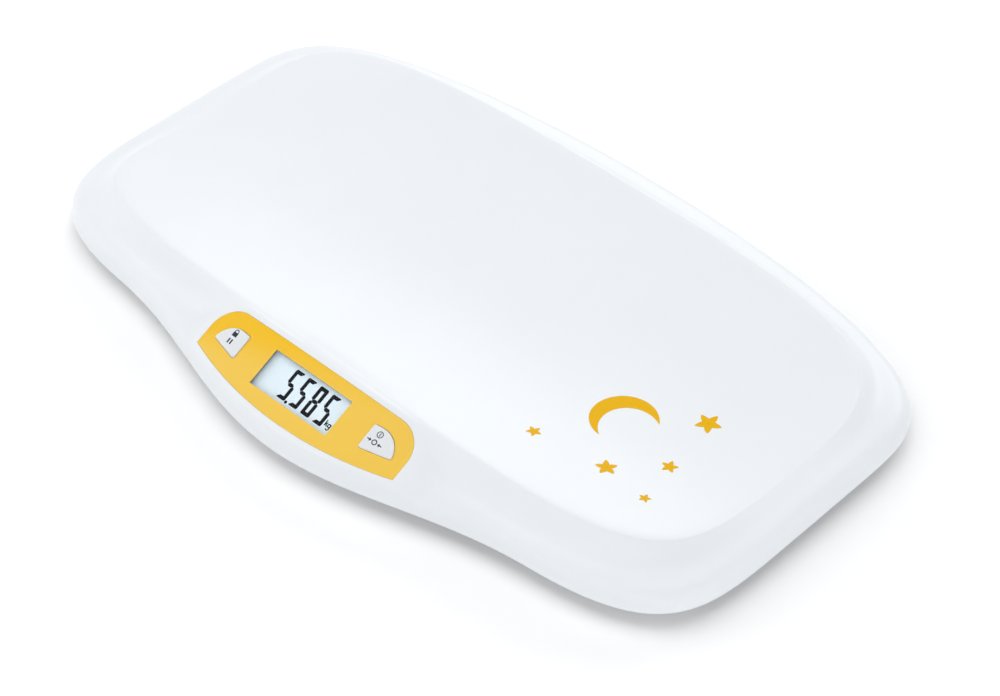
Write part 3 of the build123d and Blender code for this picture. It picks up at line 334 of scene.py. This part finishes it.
def add_softbox(name, place, size, power, mirrored):
    """Rectangular area lamp aimed at the scale, seen in its gloss or not."""
    lamp = bpy.data.lights.new(name, "AREA")
    lamp.shape = "RECTANGLE"
    lamp.size, lamp.size_y = size
    lamp.energy = power
    holder = bpy.data.objects.new(name, lamp)
    bpy.context.scene.collection.objects.link(holder)
    holder.location = place
    holder.rotation_euler = (-Vector(place)).to_track_quat("-Z", "Y").to_euler()
    holder.visible_camera = False
    holder.visible_glossy = mirrored
    return holder


def light_underside():
    """Lamp below the clear floor that reaches surfaces seen directly, and adds nothing to bounces."""
    below = add_softbox("underside_softbox", (0.0, 0.05, -1.6), (1.8, 1.4), 10.0, False)
    below.data.use_shadow = False
    below.data.use_nodes = True
    tree = below.data.node_tree
    path = tree.nodes.new("ShaderNodeLightPath")
    first = tree.nodes.new("ShaderNodeMath")
    first.operation = "LESS_THAN"
    first.inputs[1].default_value = 1.5
    tree.links.new(path.outputs["Ray Depth"], first.inputs[0])
    tree.links.new(first.outputs[0], tree.nodes["Emission"].inputs["Strength"])


def light_studio():
    """Softboxes above, behind and low around the scale, one below for its underside, in a dim world."""
    bpy.context.scene.view_settings.view_transform = "Standard"
    for softbox in SOFTBOXES:
        add_softbox(*softbox)
    light_underside()
    world = bpy.data.worlds.new("studio")
    bpy.context.scene.world = world
    world.use_nodes = True
    tree = world.node_tree
    tree.nodes.clear()
    out = tree.nodes.new("ShaderNodeOutputWorld")
    mix = tree.nodes.new("ShaderNodeMixShader")
    tree.links.new(seen_directly(tree), mix.inputs["Fac"])
    for socket, colour, strength in ((1, (0.88, 0.945, 1.0, 1), 0.22), (2, (1, 1, 1, 1), 1.0)):
        sky = tree.nodes.new("ShaderNodeBackground")
        sky.inputs["Color"].default_value = colour
        sky.inputs["Strength"].default_value = strength
        tree.links.new(sky.outputs[0], mix.inputs[socket])
    tree.links.new(mix.outputs[0], out.inputs["Surface"])


# ----------------------------------------------------------------------- camera
VIEW_AZIMUTH, VIEW_ELEVATION, VIEW_ROLL = 44.539, 43.307, -0.954
VIEW_PLACE = (0.866759, -0.849910, 1.119853)
VIEW_LENS = 94.318


def place_camera():
    """Long lens above the front right corner, looking down at the console side."""
    a, e, roll = (math.radians(v) for v in (VIEW_AZIMUTH, VIEW_ELEVATION, VIEW_ROLL))
    back = Vector((math.sin(a) * math.cos(e), -math.cos(a) * math.cos(e), math.sin(e)))
    level = Vector((math.cos(a), math.sin(a), 0))
    up = back.cross(level)
    right = level * math.cos(roll) + up * math.sin(roll)
    up = back.cross(right)
    lens = bpy.data.cameras.new("studio_camera")
    lens.lens = VIEW_LENS
    lens.sensor_width = 36.0
    camera = bpy.data.objects.new("studio_camera", lens)
    bpy.context.scene.collection.objects.link(camera)
    turn = Matrix((right, up, back)).transposed().to_4x4()
    camera.matrix_world = Matrix.Translation(VIEW_PLACE) @ turn
    bpy.context.scene.camera = camera


# -------------------------------------------------------------------- materials
def start_material(name, colour, roughness, metallic=0.0):
    """Material with one principled shader whose even values sit on its own sockets."""
    material = bpy.data.materials.new(name)
    material.use_nodes = True
    shader = material.node_tree.nodes["Principled BSDF"]
    shader.inputs["Base Color"].default_value = (*colour, 1)
    shader.inputs["Roughness"].default_value = roughness
    shader.inputs["Metallic"].default_value = metallic
    return material, material.node_tree, shader


def add_noise(tree, scale, detail=2.0):
    """Noise on the object's own coordinates."""
    place = tree.nodes.new("ShaderNodeTexCoord")
    noise = tree.nodes.new("ShaderNodeTexNoise")
    noise.inputs["Scale"].default_value = scale
    noise.inputs["Detail"].default_value = detail
    tree.links.new(place.outputs["Object"], noise.inputs["Vector"])
    return noise


def add_split(tree):
    """The object's own coordinates as X, Y and Z."""
    place = tree.nodes.new("ShaderNodeTexCoord")
    split = tree.nodes.new("ShaderNodeSeparateXYZ")
    tree.links.new(place.outputs["Object"], split.inputs["Vector"])
    return split


def add_span(tree, value, low, high):
    """0 where a value in metres is low, 1 where it is high."""
    span = tree.nodes.new("ShaderNodeMapRange")
    span.inputs["From Min"].default_value = low
    span.inputs["From Max"].default_value = high
    tree.links.new(value, span.inputs["Value"])
    return span.outputs["Result"]


def add_tones(tree, value, low, high, interpolation="LINEAR"):
    """Colour that runs from one tone to another with a value."""
    ramp = tree.nodes.new("ShaderNodeValToRGB")
    ramp.color_ramp.interpolation = interpolation
    ramp.color_ramp.elements[0].color = (*low, 1)
    ramp.color_ramp.elements[1].color = (*high, 1)
    tree.links.new(value, ramp.inputs["Fac"])
    return ramp


def add_bump(tree, shader, noise, strength, depth):
    """Fine relief from a noise, a strength and a depth in metres."""
    bump = tree.nodes.new("ShaderNodeBump")
    bump.inputs["Strength"].default_value = strength
    bump.inputs["Distance"].default_value = depth
    tree.links.new(noise.outputs["Fac"], bump.inputs["Height"])
    tree.links.new(bump.outputs["Normal"], shader.inputs["Normal"])


def vary_colour(tree, shader, noise, low, high):
    """Colour that drifts between two tones with a noise."""
    ramp = add_tones(tree, noise.outputs["Fac"], low, high)
    ramp.color_ramp.elements[0].position, ramp.color_ramp.elements[1].position = 0.35, 0.65
    tree.links.new(ramp.outputs["Color"], shader.inputs["Base Color"])


def moulded(name, colour, roughness, drift=0.02, grain=900.0, relief=0.00002, coat=0.0):
    """Moulded plastic: a slow drift of tone and a fine grain."""
    material, tree, shader = start_material(name, colour, roughness)
    low = tuple(max(0.0, c * (1 - drift)) for c in colour)
    high = tuple(min(1.0, c * (1 + drift)) for c in colour)
    vary_colour(tree, shader, add_noise(tree, 14.0), low, high)
    add_bump(tree, shader, add_noise(tree, grain, 3.0), 0.25, relief)
    shader.inputs["Coat Weight"].default_value = coat
    shader.inputs["Coat Roughness"].default_value = 0.12
    return material


def metal(name, colour, roughness):
    """Plated steel with fine scratches stretched along one way."""
    material, tree, shader = start_material(name, colour, roughness, 1.0)
    place = tree.nodes.new("ShaderNodeTexCoord")
    stretch = tree.nodes.new("ShaderNodeMapping")
    stretch.inputs["Scale"].default_value = (200.0, 3000.0, 3000.0)
    noise = tree.nodes.new("ShaderNodeTexNoise")
    noise.inputs["Scale"].default_value = 1.0
    tree.links.new(place.outputs["Object"], stretch.inputs["Vector"])
    tree.links.new(stretch.outputs["Vector"], noise.inputs["Vector"])
    low = tuple(c * 0.88 for c in colour)
    vary_colour(tree, shader, noise, low, colour)
    add_bump(tree, shader, noise, 0.2, 0.00001)
    return material


def console_rise(tree, split):
    """Height above the crowned console surface: z cos t - y sin t + x^2 / 2R, less the origin's."""
    origin = CONSOLE_Z * math.cos(TILT) - CONSOLE_Y * math.sin(TILT)
    total = None
    for axis, factor in (("Z", math.cos(TILT)), ("Y", -math.sin(TILT)), ("X", 0.5 / (CROWN * MM))):
        term = tree.nodes.new("ShaderNodeMath")
        term.operation = "MULTIPLY_ADD"
        tree.links.new(split.outputs[axis], term.inputs[0])
        term.inputs[1].default_value = factor
        term.inputs[2].default_value = -origin * MM
        if axis == "X":
            square = tree.nodes.new("ShaderNodeMath")
            square.operation = "MULTIPLY"
            tree.links.new(split.outputs["X"], square.inputs[0])
            tree.links.new(split.outputs["X"], square.inputs[1])
            tree.links.new(square.outputs[0], term.inputs[0])
        if total is not None:
            tree.links.new(total, term.inputs[2])
        total = term.outputs[0]
    return total


def panel_yellow():
    """Yellow film whose tone follows Y - 0.2 X, deep at the far left and lighter towards the front as a
    painted sheen, with painted slate-dark shade on what lies a little below its surface.
    """
    material, tree, shader = start_material("console_yellow", (0.9, 0.55, 0.05), 0.42)
    shader.inputs["Specular IOR Level"].default_value = 0.2
    split = add_split(tree)
    across = tree.nodes.new("ShaderNodeMath")
    across.operation = "MULTIPLY_ADD"
    across.inputs[1].default_value = -0.2
    tree.links.new(split.outputs["X"], across.inputs[0])
    tree.links.new(split.outputs["Y"], across.inputs[2])
    # Painted sheen: the film is lighter towards the front and deep yellow towards the back and far left, in
    # place of a reflection.
    span = add_span(tree, across.outputs[0], (CONSOLE_Y + 2.0) * MM, (CONSOLE_Y + 26.0) * MM)
    film = add_tones(tree, span, (1.0, 0.64, 0.09), (1.0, 0.575, 0.012), "EASE")
    # Painted shade: whatever lies more than about half a millimetre below the console surface, such as the
    # window's walls and the panel's sides, turns dark slate.
    depth = add_span(tree, console_rise(tree, split), -0.0007, -0.0004)
    painted_recess_shade = tree.nodes.new("ShaderNodeMix")
    painted_recess_shade.data_type = "RGBA"
    painted_recess_shade.inputs["A"].default_value = (0.12, 0.15, 0.18, 1)
    tree.links.new(depth, painted_recess_shade.inputs["Factor"])
    tree.links.new(film.outputs["Color"], painted_recess_shade.inputs["B"])
    tree.links.new(painted_recess_shade.outputs["Result"], shader.inputs["Base Color"])
    add_bump(tree, shader, add_noise(tree, 2600.0, 2.0), 0.15, 0.00001)
    return material


def display_pale():
    """Display cell: pale blue, a little darker towards its back edge as painted shade, with a faint glow of
    painted light.
    """
    material, tree, shader = start_material("display_pale_blue", (0.72, 0.86, 0.92), 0.35)
    # Faint glow, like a backlight: painted light that keeps the display pale inside its shaded recess.
    shader.inputs["Emission Color"].default_value = (0.74, 0.9, 1.0, 1)
    shader.inputs["Emission Strength"].default_value = 0.13
    # Painted shade: the pale blue darkens towards the display's back edge.
    span = add_span(tree, add_split(tree).outputs["Y"], (CONSOLE_Y - 10) * MM, (CONSOLE_Y + 14) * MM)
    tones = add_tones(tree, span, (0.84, 0.945, 1.0), (0.78, 0.90, 0.98))
    tree.links.new(tones.outputs["Color"], shader.inputs["Base Color"])
    add_bump(tree, shader, add_noise(tree, 3000.0, 1.0), 0.05, 0.00001)
    return material


def clear_lens():
    """Clear moulded window: mostly see-through, with a faint gloss."""
    material, tree, shader = start_material("lens_clear", (0.25, 0.3, 0.35), 0.06)
    shader.inputs["Alpha"].default_value = 0.02
    add_bump(tree, shader, add_noise(tree, 400.0, 1.0), 0.02, 0.00001)
    return material


def printed_ink(name, colour):
    """Flat print with a slight speckle where the ink is thin."""
    material, tree, shader = start_material(name, colour, 0.45)
    shader.inputs["Specular IOR Level"].default_value = 0.05
    low = tuple(c * 0.93 for c in colour)
    vary_colour(tree, shader, add_noise(tree, 3000.0, 2.0), low, colour)
    return material


def dress(material, *names):
    """Give CAD nodes a material, by name or by the start of a name."""
    for name, piece in nodes.items():
        if any(name == wanted or (wanted.endswith("*") and name.startswith(wanted[:-1])) for wanted in names):
            piece.data.materials.clear()
            piece.data.materials.append(material)
            piece.data.polygons.foreach_set("material_index", np.zeros(len(piece.data.polygons), np.int32))


SHELL_WHITE = (0.905, 0.928, 0.95)


def dress_cad():
    """Materials of the pieces that keep their CAD shape."""
    dress(panel_yellow(), "console_panel")
    dress(display_pale(), "lcd_glass")
    dress(clear_lens(), "display_lens")
    dress(moulded("key_satin", (0.84, 0.855, 0.87), 0.4), "hold_button", "tare_button", "unit_button")
    dress(moulded("pan_grey", (0.52, 0.535, 0.56), 0.5), "base_pan", "battery_door")
    dress(moulded("light_guide_milky", (0.85, 0.9, 0.92), 0.4), "lcd_backlight")
    dress(moulded("frame_white", (0.8, 0.8, 0.8), 0.5), "lcd_frame", "cell_holder_*")
    dress(moulded("strip_rubber", (0.5, 0.08, 0.1), 0.6), "contact_strip")
    dress(moulded("board_green", (0.01, 0.09, 0.025), 0.35, drift=0.15), "main_board", "unit_board")
    dress(moulded("chip_black", (0.012, 0.012, 0.014), 0.45), "controller_chip", "key_switches",
          "unit_switch")
    dress(moulded("socket_cream", (0.7, 0.64, 0.48), 0.5), "lead_sockets")
    dress(moulded("plunger_black", (0.02, 0.02, 0.02), 0.5), "hold_plunger", "tare_plunger", "unit_plunger")
    dress(moulded("battery_wrap", (0.02, 0.06, 0.12), 0.3), "batteries")
    dress(moulded("seal_white", (0.75, 0.75, 0.72), 0.55), "gauge_seals")
    dress(moulded("lead_red", (0.42, 0.02, 0.015), 0.45), "cell_lead_*")
    dress(moulded("foot_grey", (0.42, 0.44, 0.47), 0.5), "foot_carrier_*")
    dress(moulded("pad_rubber", (0.02, 0.02, 0.021), 0.8, relief=0.00005), "foot_pad_*")
    dress(metal("screw_plated", (0.6, 0.6, 0.6), 0.35), "board_screws", "unit_board_screws", "holder_screws",
          "housing_screws")
    dress(metal("cell_zinc", (0.62, 0.62, 0.63), 0.4), "load_cell_*")
    dress(metal("contact_nickel", (0.72, 0.7, 0.66), 0.3), "positive_contacts", "negative_contacts")


# ------------------------------------------------------------------ outer shell
def cut_away(piece, outline, low, high):
    """Take a prism off a piece: an outline in the console's plane between two heights."""
    count = len(outline)
    ring_low = in_console_plane(outline[:, 0], outline[:, 1], low)
    ring_high = in_console_plane(outline[:, 0], outline[:, 1], high)
    around = np.arange(count)
    sides = np.stack([around, (around + 1) % count, (around + 1) % count + count, around + count], axis=-1)
    faces = sides.tolist() + [around[::-1].tolist(), (around + count).tolist()]
    cutter = new_mesh("cutter", np.concatenate([ring_low, ring_high]), faces, None, smooth=False)
    cut = piece.modifiers.new("cut", "BOOLEAN")
    cut.operation = "DIFFERENCE"
    cut.solver = "EXACT"
    cut.object = cutter
    bpy.context.view_layer.update()
    result = bpy.data.meshes.new_from_object(piece.evaluated_get(bpy.context.evaluated_depsgraph_get()))
    piece.modifiers.clear()
    piece.data = result
    bpy.data.objects.remove(cutter)


def build_shell():
    """Skirt, rim and tray as one wall: Catmull-Rom rows outside, eased onto the cradle's
    formula past the crest by 3t^2 - 2t^3, and the same rows moved in by the wall inside,
    joined along the bottom edge and closed at the middle."""
    angle = 2 * math.pi * np.arange(SHELL_ANGLES) / SHELL_ANGLES - math.pi
    skirt = [skirt_row(angle, *station) for station in SKIRT]
    rows = np.stack(skirt + [dish_row(angle, scale) for scale in DISH_SCALES])
    outside = smooth_rows(rows, ROWS_BETWEEN)
    outside[:ROWS_BETWEEN, :, :2] = rows[0, :, :2]
    dish = outside[(len(SKIRT) - 1) * ROWS_BETWEEN:]
    share = np.minimum(np.arange(len(dish)) / (2.0 * ROWS_BETWEEN), 1.0)[:, None]
    share = share ** 2 * (3 - 2 * share)
    dish[..., 2] += share * (dish_height(dish[..., 0], dish[..., 1]) - dish[..., 2])
    inside = inset_rows(smooth_rows(rows, INNER_ROWS_BETWEEN), WALL)
    inside[0, :, 2] = SKIRT_BOTTOM
    net = np.concatenate([inside[::-1], outside])
    count = len(net)
    centre_out = [0, PLAN_CENTRE_Y, DISH_FLOOR]
    centre_in = [0, PLAN_CENTRE_Y, DISH_FLOOR - WALL]
    points = np.concatenate([net.reshape(-1, 3), [centre_in, centre_out]])
    faces = grid_faces(count, SHELL_ANGLES, closed=True).tolist()
    around = np.arange(SHELL_ANGLES)
    beside = (around + 1) % SHELL_ANGLES
    first, last = count * SHELL_ANGLES, (count - 1) * SHELL_ANGLES
    faces += np.stack([beside, around, np.full_like(around, first)], axis=-1).tolist()
    faces += np.stack([last + around, last + beside, np.full_like(around, first + 1)], axis=-1).tolist()
    shell = new_mesh("shell_skin", points, faces, None)
    cut_away(shell, panel_outline(PANEL_GAP), RECESS_LOW, RECESS_HIGH)
    shell.data.polygons.foreach_set("use_smooth", np.ones(len(shell.data.polygons), bool))
    shell.data.set_sharp_from_angle(angle=math.radians(SHARP_DEGREES))
    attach(shell, "housing")
    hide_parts("top_shell")
    shell.data.materials.clear()
    shell.data.materials.append(moulded("shell_satin_white", SHELL_WHITE, 0.4, drift=0.006, coat=0.08))
    return shell


# ------------------------------------------------------------- display and marks
DIGIT_LEFT, DIGIT_PITCH = -14.3, 10.42
DIGIT_WIDTH, DIGIT_HEIGHT, DIGIT_BOTTOM = 7.2, 20.7, -9.9
SEGMENT, SEGMENT_GAP = 2.5, 0.22
READING = "5585"
SEGMENTS = {"5": "afgcd", "8": "abcdefg"}


def level_bar(left, right, z, inward):
    """Level segment whose ends are bevelled towards the middle of the digit."""
    bevel = SEGMENT * 0.85
    edge = z + inward * SEGMENT
    bar = [(left + 0.7, z), (left + 0.25, z + inward * 0.5), (left + bevel, edge), (right - bevel, edge),
           (right - 0.25, z + inward * 0.5), (right - 0.7, z)]
    return np.array(bar if inward < 0 else bar[::-1])[::-1]


def upright_bar(x, inward, start, end):
    """Upright segment from its outer end to the middle of the digit."""
    way = math.copysign(1.0, end - start)
    inner = x + inward * SEGMENT
    return np.array([(x, start + way * 0.9), (x + inward * 0.5, start + way * 0.5),
                     (inner, start + way * (SEGMENT * 0.85 + SEGMENT_GAP)),
                     (inner, end - way * SEGMENT * 0.62),
                     (x + inward * SEGMENT * 0.5, end - way * SEGMENT_GAP), (x, end - way * SEGMENT * 0.5)])


def middle_bar(left, right, middle):
    """Six-cornered segment across the middle."""
    half = SEGMENT / 2
    tip, body = half * 0.8 + SEGMENT_GAP, SEGMENT * 0.85 + SEGMENT_GAP
    return np.array([(left + tip, middle), (left + body, middle - half), (right - body, middle - half),
                     (right - tip, middle), (right - body, middle + half), (left + body, middle + half)])


def digit_outlines(left, text):
    """Outlines of the segments that a digit lights up."""
    right, top = left + DIGIT_WIDTH, DIGIT_BOTTOM + DIGIT_HEIGHT
    middle = DIGIT_BOTTOM + DIGIT_HEIGHT / 2
    shapes = {
        "a": level_bar(left, right, top, -1),
        "d": level_bar(left, right, DIGIT_BOTTOM, 1),
        "g": middle_bar(left, right, middle),
        "f": upright_bar(left, 1, top, middle),
        "b": upright_bar(right, -1, top, middle),
        "e": upright_bar(left, 1, DIGIT_BOTTOM, middle),
        "c": upright_bar(right, -1, DIGIT_BOTTOM, middle),
    }
    return [shapes[name] for name in SEGMENTS[text]]


def facing_up(outline):
    """Order a flat outline counter-clockwise, by the sign of its shoelace area."""
    x, y = outline[:, 0], outline[:, 1]
    area = np.sum(x * np.roll(y, -1) - np.roll(x, -1) * y)
    return outline if area > 0 else outline[::-1]


def flat_piece(name, outlines, place, body, material):
    """Filled outlines laid on a surface by a function of u and v."""
    points, faces, start = [], [], 0
    for outline in map(facing_up, outlines):
        points.append(place(outline[:, 0], outline[:, 1]))
        faces.append(list(range(start, start + len(outline))))
        start += len(outline)
    piece = new_mesh(name, np.concatenate(points), faces, body, smooth=False)
    piece.data.materials.append(material)
    return piece


def build_digits():
    """Lit segments, decimal point and unit, just above the display glass."""
    outlines = []
    for index, text in enumerate(READING):
        outlines += digit_outlines(DIGIT_LEFT + index * DIGIT_PITCH, text)
    point_u = DIGIT_LEFT + DIGIT_WIDTH + 1.2
    outlines.append(arc((point_u, DIGIT_BOTTOM + 0.3), 1.05, 0, 330, 12))
    outlines += unit_strokes(25.6, -7.7)

    def lay(u, v):
        """On the display glass."""
        return in_console_plane(u, v, np.full_like(u, GLASS_FACE + INK_LIFT))
    ink = printed_ink("segment_black", (0.003, 0.003, 0.004))
    flat_piece("display_digits", outlines, lay, "housing", ink)


def stroke(start, end, thick):
    """Rectangle along a line."""
    start, end = np.asarray(start, float), np.asarray(end, float)
    along = (end - start) / np.linalg.norm(end - start)
    side = np.array([-along[1], along[0]]) * thick / 2
    return np.array([start - side, end - side, end + side, start + side])


def ring_strokes(centre, radius, thick, start, end, count):
    """Arc drawn as short four-cornered strokes."""
    inner = arc(centre, radius - thick / 2, start, end, count + 1)
    outer = arc(centre, radius + thick / 2, start, end, count + 1)
    return [np.array([inner[k], outer[k], outer[k + 1], inner[k + 1]]) for k in range(count)]


def unit_strokes(u, v):
    """Small letters of the unit, k and g."""
    thick = 0.78
    marks = [stroke((u, v), (u, v + 3.9), thick), stroke((u, v + 1.1), (u + 1.5, v + 2.6), thick),
             stroke((u + 0.5, v + 1.6), (u + 1.7, v), thick)]
    marks += ring_strokes((u + 3.2, v + 1.3), 1.0, thick, 0, 360, 16)
    marks += [stroke((u + 4.2, v + 2.5), (u + 4.2, v - 0.6), thick)]
    marks += ring_strokes((u + 3.2, v - 0.6), 1.0, thick, 200, 360, 8)
    return marks


def build_key_marks():
    """Padlock with a pause mark, and a standby mark with zero between arrows."""
    ink = printed_ink("mark_slate", (0.035, 0.055, 0.075))

    def on_key(u, v):
        """On the crowned face of a key."""
        return on_console(u, v, KEY_PROUD + INK_LIFT)
    u, v = -64.6, 4.6
    lock = [np.array([(u - 2.0, v), (u + 2.0, v), (u + 2.0, v + 2.9), (u - 2.0, v + 2.9)])]
    lock += ring_strokes((u, v + 3.4), 1.35, 0.65, 0, 180, 12)
    lock += [stroke((u + side * 1.35, v + 2.8), (u + side * 1.35, v + 3.5), 0.65) for side in (-1, 1)]
    lock += [stroke((u + side * 1.15, v - 5.4), (u + side * 1.15, v - 1.9), 1.15) for side in (-1, 1)]
    flat_piece("hold_marks", lock, on_key, "hold_key", ink)
    u, v = 61.6, 6.4
    zero = ring_strokes((u, v), 1.9, 0.55, 0, 360, 28) + [stroke((u, v - 1.1), (u, v + 1.1), 0.6)]
    v -= 5.6
    zero += ring_strokes((u, v), 1.5, 0.65, 0, 360, 24)
    for side in (-1, 1):
        tip = u + side * 2.4
        zero += [stroke((tip + side * 0.9, v), (tip + side * 3.1, v), 0.65)]
        zero += [np.array([(tip, v), (tip + side * 1.5, v + 1.2), (tip + side * 1.5, v - 1.2)])]
    flat_piece("tare_marks", zero, on_key, "tare_key", ink)


# -------------------------------------------------------------------- tray print
STAR_STEPS, STAR_RINGS = 60, 5
MOON_STEPS, MOON_ROWS = 41, 9
STARS = [((188.0, 14.0), 8.5), ((196.0, -30.0), 5.5), ((172.0, -58.0), 7.0), ((122.0, -66.0), 5.0),
         ((205.0, -62.0), 4.0)]


def on_tray(x, y):
    """Just above the tray's surface."""
    return np.stack([x, y, dish_height(x, y) + PRINT_LIFT], axis=-1)


def star_patch(centre, radius, turn, points=5):
    """Filled star: a disc whose edge swings between two radii, on a grid of rings."""
    angle = np.linspace(0, 2 * np.pi, STAR_STEPS, endpoint=False)
    phase = (angle * points / (2 * np.pi)) % 1.0
    edge = radius * (0.48 + 0.52 * np.abs(2 * phase - 1) ** 1.3)
    share = np.linspace(0.02, 1, STAR_RINGS)[:, None]
    x = centre[0] + share * edge * np.cos(angle + turn)
    y = centre[1] + share * edge * np.sin(angle + turn)
    return on_tray(x, y)


def moon_patch(centre, radius, turn):
    """Crescent between two arcs that share their tips: a grid across its width."""
    along = np.linspace(-1, 1, MOON_STEPS)
    tip = math.radians(118)
    angle = along * tip
    outer_x, outer_y = radius * np.cos(angle), radius * np.sin(angle)
    inner_x = radius * (math.cos(tip) + 0.95 * np.cos(along * np.pi / 2))
    inner_y = radius * math.sin(tip) * np.sin(along * np.pi / 2)
    share = np.linspace(0, 1, MOON_ROWS)[:, None]
    px = outer_x + (inner_x - outer_x) * share
    py = outer_y + (inner_y - outer_y) * share
    x = centre[0] + px * math.cos(turn) - py * math.sin(turn)
    y = centre[1] + px * math.sin(turn) + py * math.cos(turn)
    return on_tray(x, y)


def build_tray_print():
    """Yellow crescent moon and stars near the front right corner of the tray."""
    ink = printed_ink("print_yellow", (0.95, 0.52, 0.01))
    moon = moon_patch((150.0, -18.0), 21.0, math.radians(150))
    faces = grid_faces(MOON_ROWS, MOON_STEPS, closed=False)[:, ::-1]
    piece = new_mesh("print_moon", moon.reshape(-1, 3), faces, "housing")
    piece.data.materials.append(ink)
    for number, (place, radius) in enumerate(STARS):
        patch = star_patch(place, radius, 0.3 + 0.4 * number)
        points = np.concatenate([patch.reshape(-1, 3), on_tray(np.array([place[0]]), np.array([place[1]]))])
        faces = grid_faces(STAR_RINGS, STAR_STEPS, closed=True).tolist()
        around = np.arange(STAR_STEPS)
        middle = np.full(STAR_STEPS, STAR_RINGS * STAR_STEPS)
        faces += np.stack([middle, around, (around + 1) % STAR_STEPS], axis=-1).tolist()
        piece = new_mesh(f"print_star_{number}", points, faces, "housing")
        piece.data.materials.append(ink)


place_camera()
add_floor()
light_studio()
dress_cad()
build_shell()
build_digits()
build_key_marks()
build_tray_print()
